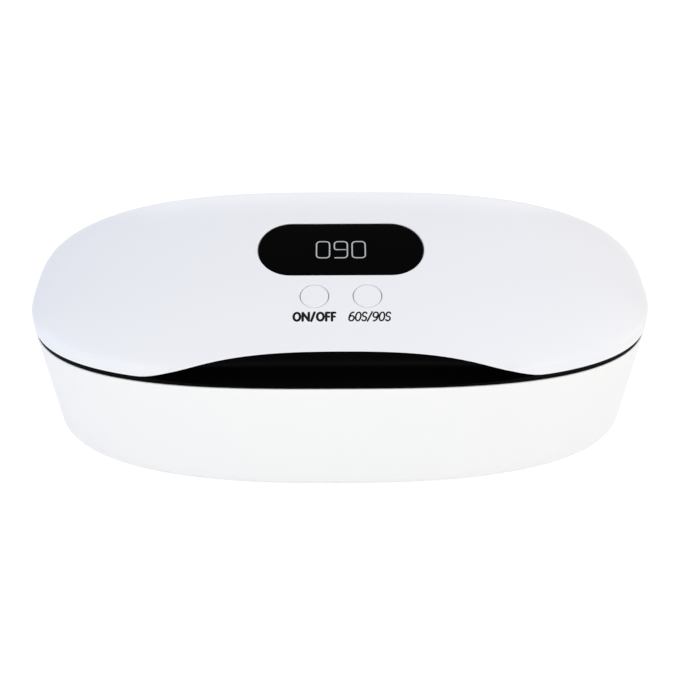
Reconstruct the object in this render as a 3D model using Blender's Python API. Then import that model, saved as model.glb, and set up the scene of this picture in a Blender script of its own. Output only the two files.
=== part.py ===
"""Home ultraviolet sterilizer box.

An oval tub holds a bright chamber tray. A black collar on the tub's rim carries
the light seal and sinks into a finger recess at the front. The domed lid turns
on two hinges at the back and holds the display, two buttons and the lamps.
Front is -Y, up is +Z, and the feet stand on Z = 0.
"""

import math

import bmesh
import bpy
from mathutils import Matrix, Vector

MM = 0.001

# Clearances between pieces
SEAT_GAP = 0.3 * MM
SLIDE_GAP = 0.25 * MM
SCREW_GAP = 0.15 * MM
PIN_GAP = 0.08 * MM
CUT_OVERRUN = 2.0 * MM
WELD_DISTANCE = 0.0001 * MM

# Tub, with its oval measured at the rim
BOX_LENGTH = 240.0 * MM
BOX_WIDTH = 110.0 * MM
TUB_HEIGHT = 54.0 * MM
TUB_WALL = 2.2 * MM
TUB_EDGE_RADIUS = 5.0 * MM
RIM_SQUARENESS = 3.0
FLOOR_SQUARENESS = 2.5
SIDE_DRAFT_SHARE = 0.045
END_DRAFT_SHARE = 1.17
OUTLINE_QUARTER_STEPS = 18
OUTLINE_DENSE_STEPS = 400
OUTLINE_TURN_SHARE = 0.25
TUB_EDGE_STEPS = 4
TUB_INNER_EDGE_STEPS = 2

# Rubber feet, and the screws that they cover
FOOT_RADIUS = 6.0 * MM
FOOT_THICKNESS = 2.2 * MM
FOOT_RECESS = 1.4 * MM
FOOT_EDGE = 0.5 * MM
FOOT_END_INSET = 44.0 * MM
FOOT_SIDE_INSET = 27.0 * MM
FOOT_SIDES = 16
TUB_SCREW_HEAD_RADIUS = 2.8 * MM
TUB_SCREW_HEAD = 1.7 * MM
TUB_SCREW_RADIUS = 1.4 * MM
TUB_SCREW_LENGTH = 9.5 * MM
TUB_POST_RADIUS = 4.6 * MM
TUB_POST_HEIGHT = 9.0 * MM
SCREW_SIDES = 10
POST_SIDES = 12

# Chamber tray
TRAY_CLEARANCE = 6.5 * MM
TRAY_WALL = 1.2 * MM
TRAY_FLOOR_HEIGHT = 14.0 * MM
TRAY_EDGE_RADIUS = 8.0 * MM
TRAY_FLANGE_THICKNESS = 1.0 * MM
TRAY_POST_RADIUS = 3.6 * MM
TRAY_EDGE_STEPS = 3
TRAY_OUTER_EDGE_STEPS = 2

# Lid dome
LID_OVERHANG = 0.2 * MM
LID_WALL = 2.0 * MM
BAND_HEIGHT = 2.6 * MM
LID_EDGE_HEIGHT = 4.7 * MM
DOME_RISE = 15.7 * MM
DOME_LEAN_SHARE = 0.1775
DOME_SQUARENESS = 2.7
DOME_ROUNDING = 0.5714
DOME_RING_SHARES = (0.99, 0.965, 0.92, 0.84, 0.72, 0.54, 0.3)
DOME_INNER_SHARES = (0.98, 0.91, 0.78, 0.5)
SLICE_RING_SHARES = (0.55,)

# Arch of the lid's front edge, over the finger recess
ARCH_HALF_WIDTH = 68.0 * MM
ARCH_RISE = 8.7 * MM
ARCH_SQUARENESS = 2.7
ARCH_ROUNDING = 0.5
ARCH_BLEND = 6.0 * MM
ARCH_BLEND_STEPS = 9
ARCH_STEPS = 40
ARCH_DEPTH = 20.0 * MM

# Black collar: each point of its section has an inset from the rim and a
# height over the rim plane, first round the box and then mid front
BAND_INSET = 0.3 * MM
BAND_FRONT_HEIGHT = 0.7 * MM
LEDGE_INSET = 2.2 * MM
SCOOP_FLOOR_INSET = 9.0 * MM
SCOOP_FLOOR_HEIGHT = 1.1 * MM
SCOOP_BEND_INSET = 11.8 * MM
SCOOP_BEND_HEIGHT = 2.6 * MM
COLLAR_WALL_INSET = 2.5 * MM
COLLAR_WALL_HEIGHT = 5.0 * MM
COLLAR_WALL_THICKNESS = 1.6 * MM
SCOOP_WALL_INSET = 13.2 * MM
SCOOP_WALL_HEIGHT = 11.0 * MM
SEAL_LEDGE_HEIGHT = 3.4 * MM
SEAL_LEDGE_WIDTH = 2.8 * MM
COLLAR_SKIRT = 1.6 * MM

# Light seal
SEAL_WIDTH = 2.0 * MM
SEAL_HEIGHT = 2.6 * MM

# Safety magnet in the collar
MAGNET_RADIUS = 3.0 * MM
MAGNET_THICKNESS = 2.0 * MM
MAGNET_X = 30.0 * MM
MAGNET_INSET = 14.0 * MM

# Hinge
HINGE_X = 38.0 * MM
HINGE_RADIUS = 2.4 * MM
HINGE_PIN_RADIUS = 1.0 * MM
HINGE_GAP = 0.4 * MM
HINGE_HEIGHT = 1.0 * MM
LID_KNUCKLE = 7.4 * MM
TUB_KNUCKLE = 6.0 * MM
HINGE_SIDES = 16
GUSSET_DROP = 6.5 * MM
GUSSET_SINK = 1.0 * MM
GUSSET_TOP = 0.6 * MM
KNUCKLE_OVERLAP = 0.2 * MM
LID_ARM_RISE = 4.2 * MM

# Display
DISPLAY_LENGTH = 64.5 * MM
DISPLAY_WIDTH = 28.0 * MM
DISPLAY_END = 12.9 * MM
DISPLAY_X = 0.4 * MM
DISPLAY_BEHIND_BUTTONS = 24.4 * MM
DISPLAY_LENS = 1.4 * MM
DISPLAY_SINK = 0.1 * MM
DISPLAY_LEDGE = 3.0 * MM
DISPLAY_FRAME = 2.5 * MM
DISPLAY_FRAME_DEPTH = 1.6 * MM
DISPLAY_END_STEPS = 12
MODULE_LENGTH = 30.2 * MM
MODULE_WIDTH = 14.0 * MM
MODULE_HEIGHT = 9.0 * MM
DIGIT_COUNT = 3
DIGIT_PITCH = 7.2 * MM
DIGIT_LENGTH = 6.0 * MM
DIGIT_WIDTH = 10.2 * MM
DIGIT_DEPTH = 0.4 * MM

# Buttons and their switches
BUTTON_RADIUS = 5.3 * MM
BUTTON_PITCH = 20.0 * MM
BUTTON_MIDDLE_X = 0.3 * MM
BUTTON_Y = -22.5 * MM
BUTTON_DEPTH = 2.7 * MM
BUTTON_SINK = 0.05 * MM
BUTTON_FLANGE = 0.9 * MM
BUTTON_FLANGE_THICKNESS = 0.7 * MM
BUTTON_STEM_RADIUS = 1.8 * MM
BUTTON_TRAVEL = 0.8 * MM
BUTTON_SIDES = 28
SWITCH_SIZE = 6.0 * MM
SWITCH_HEIGHT = 2.4 * MM
PLUNGER_RADIUS = 1.6 * MM
PLUNGER_SHOWING = 1.2 * MM
PLUNGER_HIDDEN = 1.0 * MM

# Lid panel, which closes the dome from below
PANEL_THICKNESS = 1.2 * MM
PANEL_INSET = 5.4 * MM
PANEL_SCREW_HEAD_RADIUS = 2.2 * MM
PANEL_SCREW_HEAD = 1.3 * MM
PANEL_SCREW_RADIUS = 1.1 * MM
PANEL_SCREW_LENGTH = 6.0 * MM
PANEL_BOSS_RADIUS = 3.0 * MM
PANEL_BOSS_DEPTH = 5.2 * MM
PANEL_SIDE_INSET = 21.0 * MM
PANEL_SIDE_Y = 8.0 * MM
PANEL_REAR_X = 56.0 * MM
PANEL_REAR_INSET = 17.0 * MM
PANEL_FRONT_X = 55.0 * MM
PANEL_FRONT_INSET = 25.0 * MM

# Control board and what it carries
BOARD_THICKNESS = 1.6 * MM
BOARD_STANDOFF = 0.8 * MM
BOARD_STANDOFF_RADIUS = 2.6 * MM
BOARD_LENGTH = 92.0 * MM
BOARD_FRONT_MARGIN = 4.5 * MM
BOARD_REAR_MARGIN = 10.1 * MM
BOARD_SCREW_INSET = 4.0 * MM
BOARD_SCREW_HEAD_RADIUS = 1.9 * MM
BOARD_SCREW_HEAD = 1.2 * MM
BOARD_SCREW_RADIUS = 0.9 * MM
BOARD_SCREW_LENGTH = 3.4 * MM
BUZZER_RADIUS = 4.5 * MM
BUZZER_HEIGHT = 5.4 * MM
BUZZER_HOLE = 1.0 * MM
BUZZER_X = -34.0 * MM
BUZZER_BEHIND_BUTTONS = 14.5 * MM
REED_INSET = 2.5 * MM
REED_RADIUS = 1.1 * MM
REED_LENGTH = 13.0 * MM
REED_SIDES = 12

# Lamp boards, lamps and their windows, one set on each side
LAMP_END_INSET = 48.0 * MM
LAMP_BOARD_WIDTH = 12.0 * MM
LAMP_BOARD_LENGTH = 52.0 * MM
LAMP_BOARD_THICKNESS = 1.2 * MM
LAMP_BOARD_STANDOFF = 2.5 * MM
LAMP_MIDDLE_Y = 4.0 * MM
LAMP_COUNT = 3
LAMP_PITCH = 14.0 * MM
LAMP_SIZE = 3.5 * MM
LAMP_HEIGHT = 1.0 * MM
LAMP_DOME_RADIUS = 1.3 * MM
LAMP_SCREW_PITCH = 44.0 * MM
WINDOW_WIDTH = 7.0 * MM
WINDOW_LENGTH = 36.0 * MM
WINDOW_LIP = 1.2 * MM
WINDOW_LIP_THICKNESS = 0.6 * MM
WINDOW_END_STEPS = 8

# Power inlet at the back of the tub
INLET_HEIGHT = 9.0 * MM
INLET_WIDTH = 8.9 * MM
INLET_THICKNESS = 3.2 * MM
INLET_DEPTH = 8.2 * MM
INLET_WALL = 0.3 * MM
INLET_CAVITY = 6.4 * MM
INLET_TONGUE_WIDTH = 6.6 * MM
INLET_TONGUE_THICKNESS = 0.7 * MM
INLET_TONGUE_LENGTH = 5.0 * MM
INLET_SINK = 0.5 * MM
INLET_BOARD_LENGTH = 20.0 * MM
INLET_BOARD_WIDTH = 15.0 * MM
INLET_BOARD_THICKNESS = 1.2 * MM
INLET_POST_RADIUS = 2.4 * MM
INLET_POST_INSET = 3.0 * MM
INLET_END_STEPS = 6

FULL_TURN = 2 * math.pi
QUARTER_TURN = math.pi / 2
EIGHTH_TURN = math.pi / 4
SMOOTH_ANGLE = math.radians(35.0)

# Places that follow from the sizes above
FOOT_PROUD = FOOT_THICKNESS + SEAT_GAP - FOOT_RECESS
HALF_LENGTH = BOX_LENGTH / 2
HALF_WIDTH = BOX_WIDTH / 2
LAMP_X = HALF_LENGTH - LAMP_END_INSET
DISPLAY_Y = BUTTON_Y + DISPLAY_BEHIND_BUTTONS
BUZZER_Y = BUTTON_Y + BUZZER_BEHIND_BUTTONS
BOARD_FRONT_Y = BUTTON_Y - BOARD_FRONT_MARGIN
BOARD_REAR_Y = DISPLAY_Y + BOARD_REAR_MARGIN
LID_HALF_LENGTH = HALF_LENGTH + LID_OVERHANG
LID_HALF_WIDTH = HALF_WIDTH + LID_OVERHANG
HINGE_Y = LID_HALF_WIDTH + HINGE_GAP + HINGE_RADIUS
HINGE_Z = TUB_HEIGHT + HINGE_HEIGHT
DEPTH_SHIFT = (HINGE_Y + HINGE_RADIUS - HALF_WIDTH) / 2
SEAL_TOP = TUB_HEIGHT + SEAL_LEDGE_HEIGHT + SEAT_GAP + SEAL_HEIGHT
PANEL_BOTTOM = SEAL_TOP + SEAT_GAP
PANEL_TOP = PANEL_BOTTOM + PANEL_THICKNESS
BOARD_BOTTOM = PANEL_TOP + BOARD_STANDOFF + SEAT_GAP
BOARD_TOP = BOARD_BOTTOM + BOARD_THICKNESS
LAMP_BOARD_BOTTOM = PANEL_TOP + LAMP_BOARD_STANDOFF + SEAT_GAP
SWITCH_TOP = BOARD_TOP + SEAT_GAP + SWITCH_HEIGHT
PLUNGER_TOP = SWITCH_TOP + PLUNGER_SHOWING
BUTTON_XS = {
    "power": BUTTON_MIDDLE_X - BUTTON_PITCH / 2,
    "timer": BUTTON_MIDDLE_X + BUTTON_PITCH / 2,
}
PANEL_SCREW_PLACES = [
    (side * x, y)
    for side in (-1, 1)
    for x, y in (
        (HALF_LENGTH - PANEL_SIDE_INSET, PANEL_SIDE_Y),
        (PANEL_REAR_X, HALF_WIDTH - PANEL_REAR_INSET),
        (PANEL_FRONT_X, PANEL_FRONT_INSET - HALF_WIDTH),
    )
]
BOARD_SCREW_PLACES = [
    (side * (BOARD_LENGTH / 2 - BOARD_SCREW_INSET), y)
    for side in (-1, 1)
    for y in (BOARD_FRONT_Y + BOARD_SCREW_INSET, BOARD_REAR_Y - BOARD_SCREW_INSET)
]
FOOT_PLACES = [
    (x_side * (HALF_LENGTH - FOOT_END_INSET), y_side * (HALF_WIDTH - FOOT_SIDE_INSET))
    for x_side in (-1, 1)
    for y_side in (-1, 1)
]


def clear_scene():
    """Remove every object, so the script can be run again."""
    for item in list(bpy.data.objects):
        bpy.data.objects.remove(item, do_unlink=True)


def new_collection(name):
    """Make a collection under the scene."""
    collection = bpy.data.collections.new(name)
    bpy.context.scene.collection.children.link(collection)
    return collection


def make_material(name, colour, roughness, metallic=0.0, alpha=1.0):
    """A Principled material with one colour and finish."""
    material = bpy.data.materials.new(name)
    material.use_nodes = True
    shader = material.node_tree.nodes["Principled BSDF"]
    shader.inputs["Base Color"].default_value = (*colour, 1.0)
    shader.inputs["Roughness"].default_value = roughness
    shader.inputs["Metallic"].default_value = metallic
    shader.inputs["Alpha"].default_value = alpha
    material.diffuse_color = (*colour, alpha)
    return material


clear_scene()
PARTS = new_collection("uv_sterilizer_box")
CUTTERS = new_collection("cutters")

MATERIALS = {
    "white_shell": make_material("white_abs", (0.86, 0.87, 0.90), 0.18),
    "black_trim": make_material("black_abs", (0.01, 0.01, 0.012), 0.4),
    "bright_tray": make_material("bright_plated_abs", (0.82, 0.83, 0.85), 0.12, 1.0),
    "rubber": make_material("grey_rubber", (0.35, 0.35, 0.36), 0.8),
    "seal": make_material("black_silicone", (0.03, 0.03, 0.03), 0.7),
    "steel": make_material("screw_steel", (0.55, 0.55, 0.56), 0.3, 1.0),
    "board": make_material("green_board", (0.02, 0.18, 0.08), 0.45),
    "lens": make_material("smoked_acrylic", (0.004, 0.004, 0.005), 0.05),
    "component": make_material("black_component", (0.03, 0.03, 0.03), 0.5),
    "lamp": make_material("lamp_ceramic", (0.75, 0.72, 0.6), 0.3),
    "clear": make_material("clear_window", (0.9, 0.93, 0.95), 0.03, 0.0, 0.35),
    "magnet": make_material("plated_magnet", (0.6, 0.6, 0.62), 0.25, 1.0),
}


def make_empty(name, location, parent=None):
    """An empty that places what hangs from it."""
    empty = bpy.data.objects.new(name, None)
    PARTS.objects.link(empty)
    empty.parent = parent
    empty.location = location
    return empty


BOX = make_empty("box_frame", (0, -DEPTH_SHIFT, FOOT_PROUD))
LID = make_empty("lid_pivot", (0, HINGE_Y, HINGE_Z), BOX)
BUTTONS = {
    name: make_empty(
        "button_pivot_" + name, (x, BUTTON_Y - HINGE_Y, BOARD_TOP - HINGE_Z), LID
    )
    for name, x in BUTTON_XS.items()
}


def frame_offset(parent):
    """Where the box frame's origin lies, seen from a parent empty."""
    offset = Vector((0, 0, 0))
    while parent is not BOX:
        offset -= Vector(parent.location)
        parent = parent.parent
    return offset


def finish_mesh(bm, name):
    """Weld, face outwards and turn a bmesh into a mesh."""
    bmesh.ops.remove_doubles(bm, verts=bm.verts, dist=WELD_DISTANCE)
    bmesh.ops.recalc_face_normals(bm, faces=bm.faces)
    mesh = bpy.data.meshes.new(name)
    bm.to_mesh(mesh)
    bm.free()
    mesh.shade_smooth()
    mesh.set_sharp_from_angle(angle=SMOOTH_ANGLE)
    return mesh


def add_part(name, bm, material, parent=BOX):
    """Link a piece, whose mesh is drawn in the box frame."""
    part = bpy.data.objects.new(name, finish_mesh(bm, name))
    part.data.materials.append(MATERIALS[material])
    part.parent = parent
    part.location = frame_offset(parent)
    PARTS.objects.link(part)
    return part


def add_cutter(name, bm, parent=BOX):
    """Link a tool shape, which is never part of the model."""
    cutter = bpy.data.objects.new(name, finish_mesh(bm, name))
    cutter.parent = parent
    cutter.location = frame_offset(parent)
    cutter.hide_render = True
    cutter.display_type = "WIRE"
    CUTTERS.objects.link(cutter)
    return cutter


def combine(part, tool, operation):
    """Join, cut or trim a piece with a tool shape."""
    modifier = part.modifiers.new(operation.lower() + "_" + tool.name, "BOOLEAN")
    modifier.operation = operation
    modifier.object = tool
    modifier.solver = "EXACT"
    return modifier


def mix(first, second, share):
    """A value that lies a share of the way from first to second."""
    return first + (second - first) * share


def quarter_directions():
    """The unit oval's first quarter, with points closer where the rim bends."""
    dense = []
    for step in range(OUTLINE_DENSE_STEPS + 1):
        angle = step / OUTLINE_DENSE_STEPS * QUARTER_TURN
        x = math.cos(angle) ** (2 / RIM_SQUARENESS)
        y = math.sin(angle) ** (2 / RIM_SQUARENESS)
        dense.append((x, y))
    lengths = [0.0]
    turns = [0.0]
    for (x0, y0), (x1, y1) in zip(dense, dense[1:]):
        across = (x0 - x1) * HALF_LENGTH
        along = (y1 - y0) * HALF_WIDTH
        lengths.append(lengths[-1] + math.hypot(across, along))
        turns.append(math.atan2(across, along) / QUARTER_TURN)
    quarter = []
    for count in range(OUTLINE_QUARTER_STEPS):
        wanted = count / OUTLINE_QUARTER_STEPS
        index = 0
        while mix(lengths[index] / lengths[-1], turns[index], OUTLINE_TURN_SHARE) < wanted:
            index += 1
        quarter.append(dense[index])
    return quarter


def oval_directions():
    """The whole unit oval, with its quarters mirrored."""
    first = quarter_directions()
    second = [(-x, y) for x, y in reversed(first[1:])]
    upper = first + [(0.0, 1.0)] + second
    lower = [(-x, -y) for x, y in upper]
    return upper + lower


DIRECTIONS = oval_directions()


def oval(half_length, half_width, squareness):
    """An oval outline as a list of plan points."""
    points = []
    for ux, uy in DIRECTIONS:
        reach = (abs(ux) ** squareness + abs(uy) ** squareness) ** (-1 / squareness)
        points.append((half_length * reach * ux, half_width * reach * uy))
    return points


def oval_depth(x, half_length, half_width):
    """How far an oval like the rim's reaches along Y, at a distance along X."""
    share = 1 - (abs(x) / half_length) ** RIM_SQUARENESS
    return half_width * share ** (1 / RIM_SQUARENESS)


def at_height(points, height):
    """Lift plan points to one height."""
    return [(x, y, height) for x, y in points]


def loft(bm, rings, start=None, end=None, closed=False):
    """Skin equal rings. Open ends are capped flat, or with a fan to a point."""
    loops = [[bm.verts.new(point) for point in ring] for ring in rings]
    pairs = list(zip(loops, loops[1:]))
    if closed:
        pairs.append((loops[-1], loops[0]))
    for lower, upper in pairs:
        for i in range(len(lower)):
            bm.faces.new((lower[i - 1], lower[i], upper[i], upper[i - 1]))
    if closed:
        return
    for loop, point in ((loops[0], start), (loops[-1], end)):
        if point is None:
            bm.faces.new(loop)
            continue
        tip = bm.verts.new(point)
        for i in range(len(loop)):
            bm.faces.new((loop[i - 1], loop[i], tip))


def add_cylinder(bm, centre, radius, height, sides, axis="Z"):
    """A capped cylinder that starts at centre and runs along the axis."""
    turn = {
        "X": Matrix.Rotation(QUARTER_TURN, 4, "Y"),
        "Y": Matrix.Rotation(-QUARTER_TURN, 4, "X"),
        "Z": Matrix.Identity(4),
    }[axis]
    middle = turn @ Vector((0, 0, height / 2))
    bmesh.ops.create_cone(
        bm,
        cap_ends=True,
        segments=sides,
        radius1=radius,
        radius2=radius,
        depth=height,
        matrix=Matrix.Translation(Vector(centre) + middle) @ turn,
    )


def add_box(bm, low, high):
    """A box between two corners."""
    low, high = Vector(low), Vector(high)
    size = Matrix.Diagonal((*(high - low), 1.0))
    bmesh.ops.create_cube(
        bm, size=1.0, matrix=Matrix.Translation((low + high) / 2) @ size
    )


def add_prism(bm, points, low, high, axis):
    """Run a flat outline along X or Y, from low to high."""
    if axis == "X":
        rings = [[(value, y, z) for y, z in points] for value in (low, high)]
    else:
        rings = [[(x, value, z) for x, z in points] for value in (low, high)]
    loft(bm, rings)


def pill(length, width, end, steps, middle=(0, 0)):
    """A plan outline with straight sides and rounded ends along X."""
    points = []
    for side in (1, -1):
        for step in range(steps + 1):
            angle = side * QUARTER_TURN - math.pi * step / steps
            x = side * (length / 2 - end) + end * math.cos(angle)
            y = width / 2 * math.sin(angle)
            points.append((middle[0] + x, middle[1] + y))
    return points


def circle(radius, sides, middle):
    """A round plan outline."""
    points = []
    for step in range(sides):
        angle = FULL_TURN * step / sides
        x = middle[0] + radius * math.cos(angle)
        points.append((x, middle[1] + radius * math.sin(angle)))
    return points


def tub_ring(height, inset=0.0):
    """The tub's outline at a height over its underside."""
    drop = TUB_HEIGHT - height
    draft = drop * SIDE_DRAFT_SHARE
    squareness = mix(RIM_SQUARENESS, FLOOR_SQUARENESS, drop / TUB_HEIGHT)
    half_length = HALF_LENGTH - END_DRAFT_SHARE * draft - inset
    return oval(half_length, HALF_WIDTH - draft - inset, squareness)


def edge_rings(bottom, radius, steps, inset):
    """Rings up a rounded lower edge, from its flat floor to its wall."""
    rings = []
    for step in range(steps + 1):
        angle = QUARTER_TURN * step / steps
        height = bottom + radius * (1 - math.cos(angle))
        ring = tub_ring(height, inset + radius * (1 - math.sin(angle)))
        rings.append(at_height(ring, height))
    return rings


def lid_height(x, y, wall=0.0):
    """Height of the dome's outer face, or of its inner face under a wall."""
    across = (abs(x) / (LID_HALF_LENGTH - wall)) ** RIM_SQUARENESS
    along = (abs(y) / (LID_HALF_WIDTH - wall)) ** RIM_SQUARENESS
    reach = min((across + along) ** (1 / RIM_SQUARENESS), 1.0)
    swell = (1 - reach**DOME_SQUARENESS) ** DOME_ROUNDING
    rise = DOME_RISE + DOME_LEAN_SHARE * y - wall
    return TUB_HEIGHT + BAND_HEIGHT + LID_EDGE_HEIGHT + swell * rise


def lid_ring(share, wall=0.0):
    """A ring on the dome, at a share of the way out from its middle."""
    outline = oval(LID_HALF_LENGTH - wall, LID_HALF_WIDTH - wall, RIM_SQUARENESS)
    scaled = [(x * share, y * share) for x, y in outline]
    return [(x, y, lid_height(x, y, wall)) for x, y in scaled]


def dome_slice(bm, outline, middle, top_drop, bottom_drop):
    """A solid inside a plan outline, between two depths under the dome."""
    rings = []
    for drop in (top_drop, bottom_drop):
        layer = []
        for share in (1.0, *SLICE_RING_SHARES):
            ring = []
            for x, y in outline:
                px = mix(middle[0], x, share)
                py = mix(middle[1], y, share)
                ring.append((px, py, lid_height(px, py) - drop))
            layer.append(ring)
        rings.append(layer)
    peak = lid_height(*middle)
    top = (*middle, peak - top_drop)
    bottom = (*middle, peak - bottom_drop)
    loft(bm, rings[0][::-1] + rings[1], top, bottom)


def arch_share(x):
    """How far the front arch has risen at a distance from the middle."""
    total = 0.0
    for step in range(ARCH_BLEND_STEPS):
        offset = ARCH_BLEND * (2 * step / (ARCH_BLEND_STEPS - 1) - 1)
        reach = min(abs(x + offset) / ARCH_HALF_WIDTH, 1.0)
        total += (1 - reach**ARCH_SQUARENESS) ** ARCH_ROUNDING
    return total / ARCH_BLEND_STEPS


def collar_ring(inset, height, front_inset, front_height):
    """A ring of the collar, which moves in and up towards mid front."""
    ring = []
    for x, y in oval(HALF_LENGTH - inset, HALF_WIDTH - inset, RIM_SQUARENESS):
        share = arch_share(x) if y < 0 else 0.0
        depth = (front_inset - inset) * share
        ring.append((x, y + depth, TUB_HEIGHT + mix(height, front_height, share)))
    return ring


def turned_screw(name, place, base, sizes, material, parent, up=1):
    """A pan-head screw turned from one profile."""
    head_radius, head, radius, length = sizes
    profile = (
        (head_radius, 0),
        (head_radius, head),
        (radius, head),
        (radius, head + length),
    )
    bm = bmesh.new()
    rings = []
    for reach, along in profile:
        ring = circle(reach, SCREW_SIDES, place)
        rings.append(at_height(ring, base + up * along))
    loft(bm, rings)
    return add_part(name, bm, material, parent)


def make_tub():
    """The white tub, with its screw posts, inlet posts and hinge knuckles."""
    rim = TUB_HEIGHT - SEAT_GAP
    inner_radius = TUB_EDGE_RADIUS - TUB_WALL
    outer = edge_rings(0.0, TUB_EDGE_RADIUS, TUB_EDGE_STEPS, 0.0)
    outer.append(at_height(tub_ring(rim), rim))
    inner = edge_rings(TUB_WALL, inner_radius, TUB_INNER_EDGE_STEPS, TUB_WALL)
    inner.append(at_height(tub_ring(rim, TUB_WALL), rim))
    bm = bmesh.new()
    loft(bm, outer + inner[::-1])
    tub = add_part("base_shell", bm, "white_shell")
    combine(tub, tub_posts(), "UNION")
    combine(tub, tub_knuckles(), "UNION")
    combine(tub, tub_holes(), "DIFFERENCE")
    combine(tub, inlet_hole(), "DIFFERENCE")
    return tub


def tub_posts():
    """Posts on the tub's floor for the tray and the inlet board."""
    bm = bmesh.new()
    sunk = TUB_WALL / 2
    for x, y in FOOT_PLACES:
        height = TUB_POST_HEIGHT - sunk
        add_cylinder(bm, (x, y, sunk), TUB_POST_RADIUS, height, POST_SIDES)
    top = inlet_board_bottom() - SEAT_GAP
    for x, y in inlet_post_places():
        add_cylinder(bm, (x, y, sunk), INLET_POST_RADIUS, top - sunk, POST_SIDES)
    return add_cutter("tub_posts", bm)


def tub_holes():
    """Foot recesses, head pockets and screw holes under the tub."""
    bm = bmesh.new()
    pocket = TUB_SCREW_HEAD_RADIUS + SLIDE_GAP
    roof = FOOT_RECESS + TUB_SCREW_HEAD + SEAT_GAP
    profile = (
        (FOOT_RADIUS + SLIDE_GAP, -CUT_OVERRUN),
        (FOOT_RADIUS + SLIDE_GAP, FOOT_RECESS),
        (pocket, FOOT_RECESS),
        (pocket, roof),
        (TUB_SCREW_RADIUS + SCREW_GAP, roof),
        (TUB_SCREW_RADIUS + SCREW_GAP, TUB_POST_HEIGHT + CUT_OVERRUN),
    )
    for place in FOOT_PLACES:
        rings = [at_height(circle(r, FOOT_SIDES, place), z) for r, z in profile]
        loft(bm, rings)
    return add_cutter("tub_holes", bm)


def inlet_board_bottom():
    """Underside of the inlet board, which carries the socket."""
    socket_bottom = INLET_HEIGHT - INLET_THICKNESS / 2
    return socket_bottom - SEAT_GAP - INLET_BOARD_THICKNESS


def tub_back(height):
    """How far back the tub's outer face lies, mid rear at a height."""
    return HALF_WIDTH - (TUB_HEIGHT - height) * SIDE_DRAFT_SHARE


def inlet_board_rear():
    """The inlet board's rear edge, just inside the tub's wall."""
    edge_drop = TUB_EDGE_RADIUS - TUB_WALL
    return tub_back(0.0) - TUB_WALL - SEAT_GAP - edge_drop / 2


def inlet_post_places():
    """Plan places of the two posts under the inlet board."""
    y = inlet_board_rear() - INLET_BOARD_WIDTH + INLET_POST_INSET
    x = INLET_BOARD_LENGTH / 2 - INLET_POST_INSET
    return [(-x, y), (x, y)]


def inlet_outline(grow):
    """The inlet's rounded outline, as seen from behind."""
    width = INLET_WIDTH + 2 * grow
    height = INLET_THICKNESS + 2 * grow
    flat = pill(width, height, height / 2, INLET_END_STEPS)
    return [(x, INLET_HEIGHT + z) for x, z in flat]


def inlet_hole():
    """The opening in the tub's back for the inlet."""
    bm = bmesh.new()
    back = tub_back(INLET_HEIGHT)
    low = back - TUB_WALL - CUT_OVERRUN
    add_prism(bm, inlet_outline(SLIDE_GAP), low, back + CUT_OVERRUN, "Y")
    return add_cutter("inlet_hole", bm)


def knuckle_spans(kind):
    """Where each hinge knuckle starts and how long it is."""
    gap = SLIDE_GAP
    if kind == "lid":
        return [(side * HINGE_X - LID_KNUCKLE / 2, LID_KNUCKLE) for side in (-1, 1)]
    spans = []
    for side in (-1, 1):
        middle = side * HINGE_X
        spans.append((middle - LID_KNUCKLE / 2 - gap - TUB_KNUCKLE, TUB_KNUCKLE))
        spans.append((middle + LID_KNUCKLE / 2 + gap, TUB_KNUCKLE))
    return spans


def tub_knuckles():
    """The tub's hinge knuckles with their gussets, bored for the pin."""
    inside = HINGE_RADIUS - KNUCKLE_OVERLAP
    diagonal = inside * math.sin(EIGHTH_TURN)
    outermost = HINGE_X + LID_KNUCKLE / 2 + SLIDE_GAP + TUB_KNUCKLE
    root = oval_depth(outermost, HALF_LENGTH, HALF_WIDTH) - GUSSET_SINK
    gusset = (
        (root, TUB_HEIGHT - GUSSET_TOP),
        (HINGE_Y - diagonal, HINGE_Z - diagonal),
        (HINGE_Y, HINGE_Z - inside),
        (root, TUB_HEIGHT - GUSSET_DROP),
    )
    bm = bmesh.new()
    for start, length in knuckle_spans("tub"):
        add_prism(bm, gusset, start, start + length, "X")
    gussets = add_cutter("tub_gussets", bm)
    bm = bmesh.new()
    for start, length in knuckle_spans("tub"):
        add_cylinder(bm, (start, HINGE_Y, HINGE_Z), HINGE_RADIUS, length, HINGE_SIDES, "X")
    eyes = add_cutter("tub_eyes", bm)
    combine(eyes, gussets, "UNION")
    combine(eyes, pin_bore("tub_pin_bore"), "DIFFERENCE")
    return eyes


def lid_knuckles():
    """The lid's hinge knuckles with their arms, bored for the pin."""
    inside = HINGE_RADIUS - KNUCKLE_OVERLAP
    diagonal = inside * math.sin(EIGHTH_TURN)
    outermost = HINGE_X + LID_KNUCKLE / 2
    root = oval_depth(outermost, LID_HALF_LENGTH, LID_HALF_WIDTH) - GUSSET_SINK
    low = TUB_HEIGHT + BAND_HEIGHT + SEAT_GAP
    arm = (
        (root, low),
        (HINGE_Y - diagonal, HINGE_Z + diagonal),
        (HINGE_Y, HINGE_Z + inside),
        (root, low + LID_ARM_RISE),
    )
    bm = bmesh.new()
    for start, length in knuckle_spans("lid"):
        add_prism(bm, arm, start, start + length, "X")
    arms = add_cutter("lid_arms", bm, LID)
    bm = bmesh.new()
    for start, length in knuckle_spans("lid"):
        add_cylinder(bm, (start, HINGE_Y, HINGE_Z), HINGE_RADIUS, length, HINGE_SIDES, "X")
    eyes = add_cutter("lid_eyes", bm, LID)
    combine(eyes, arms, "UNION")
    combine(eyes, pin_bore("lid_pin_bore", LID), "DIFFERENCE")
    return eyes


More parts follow.
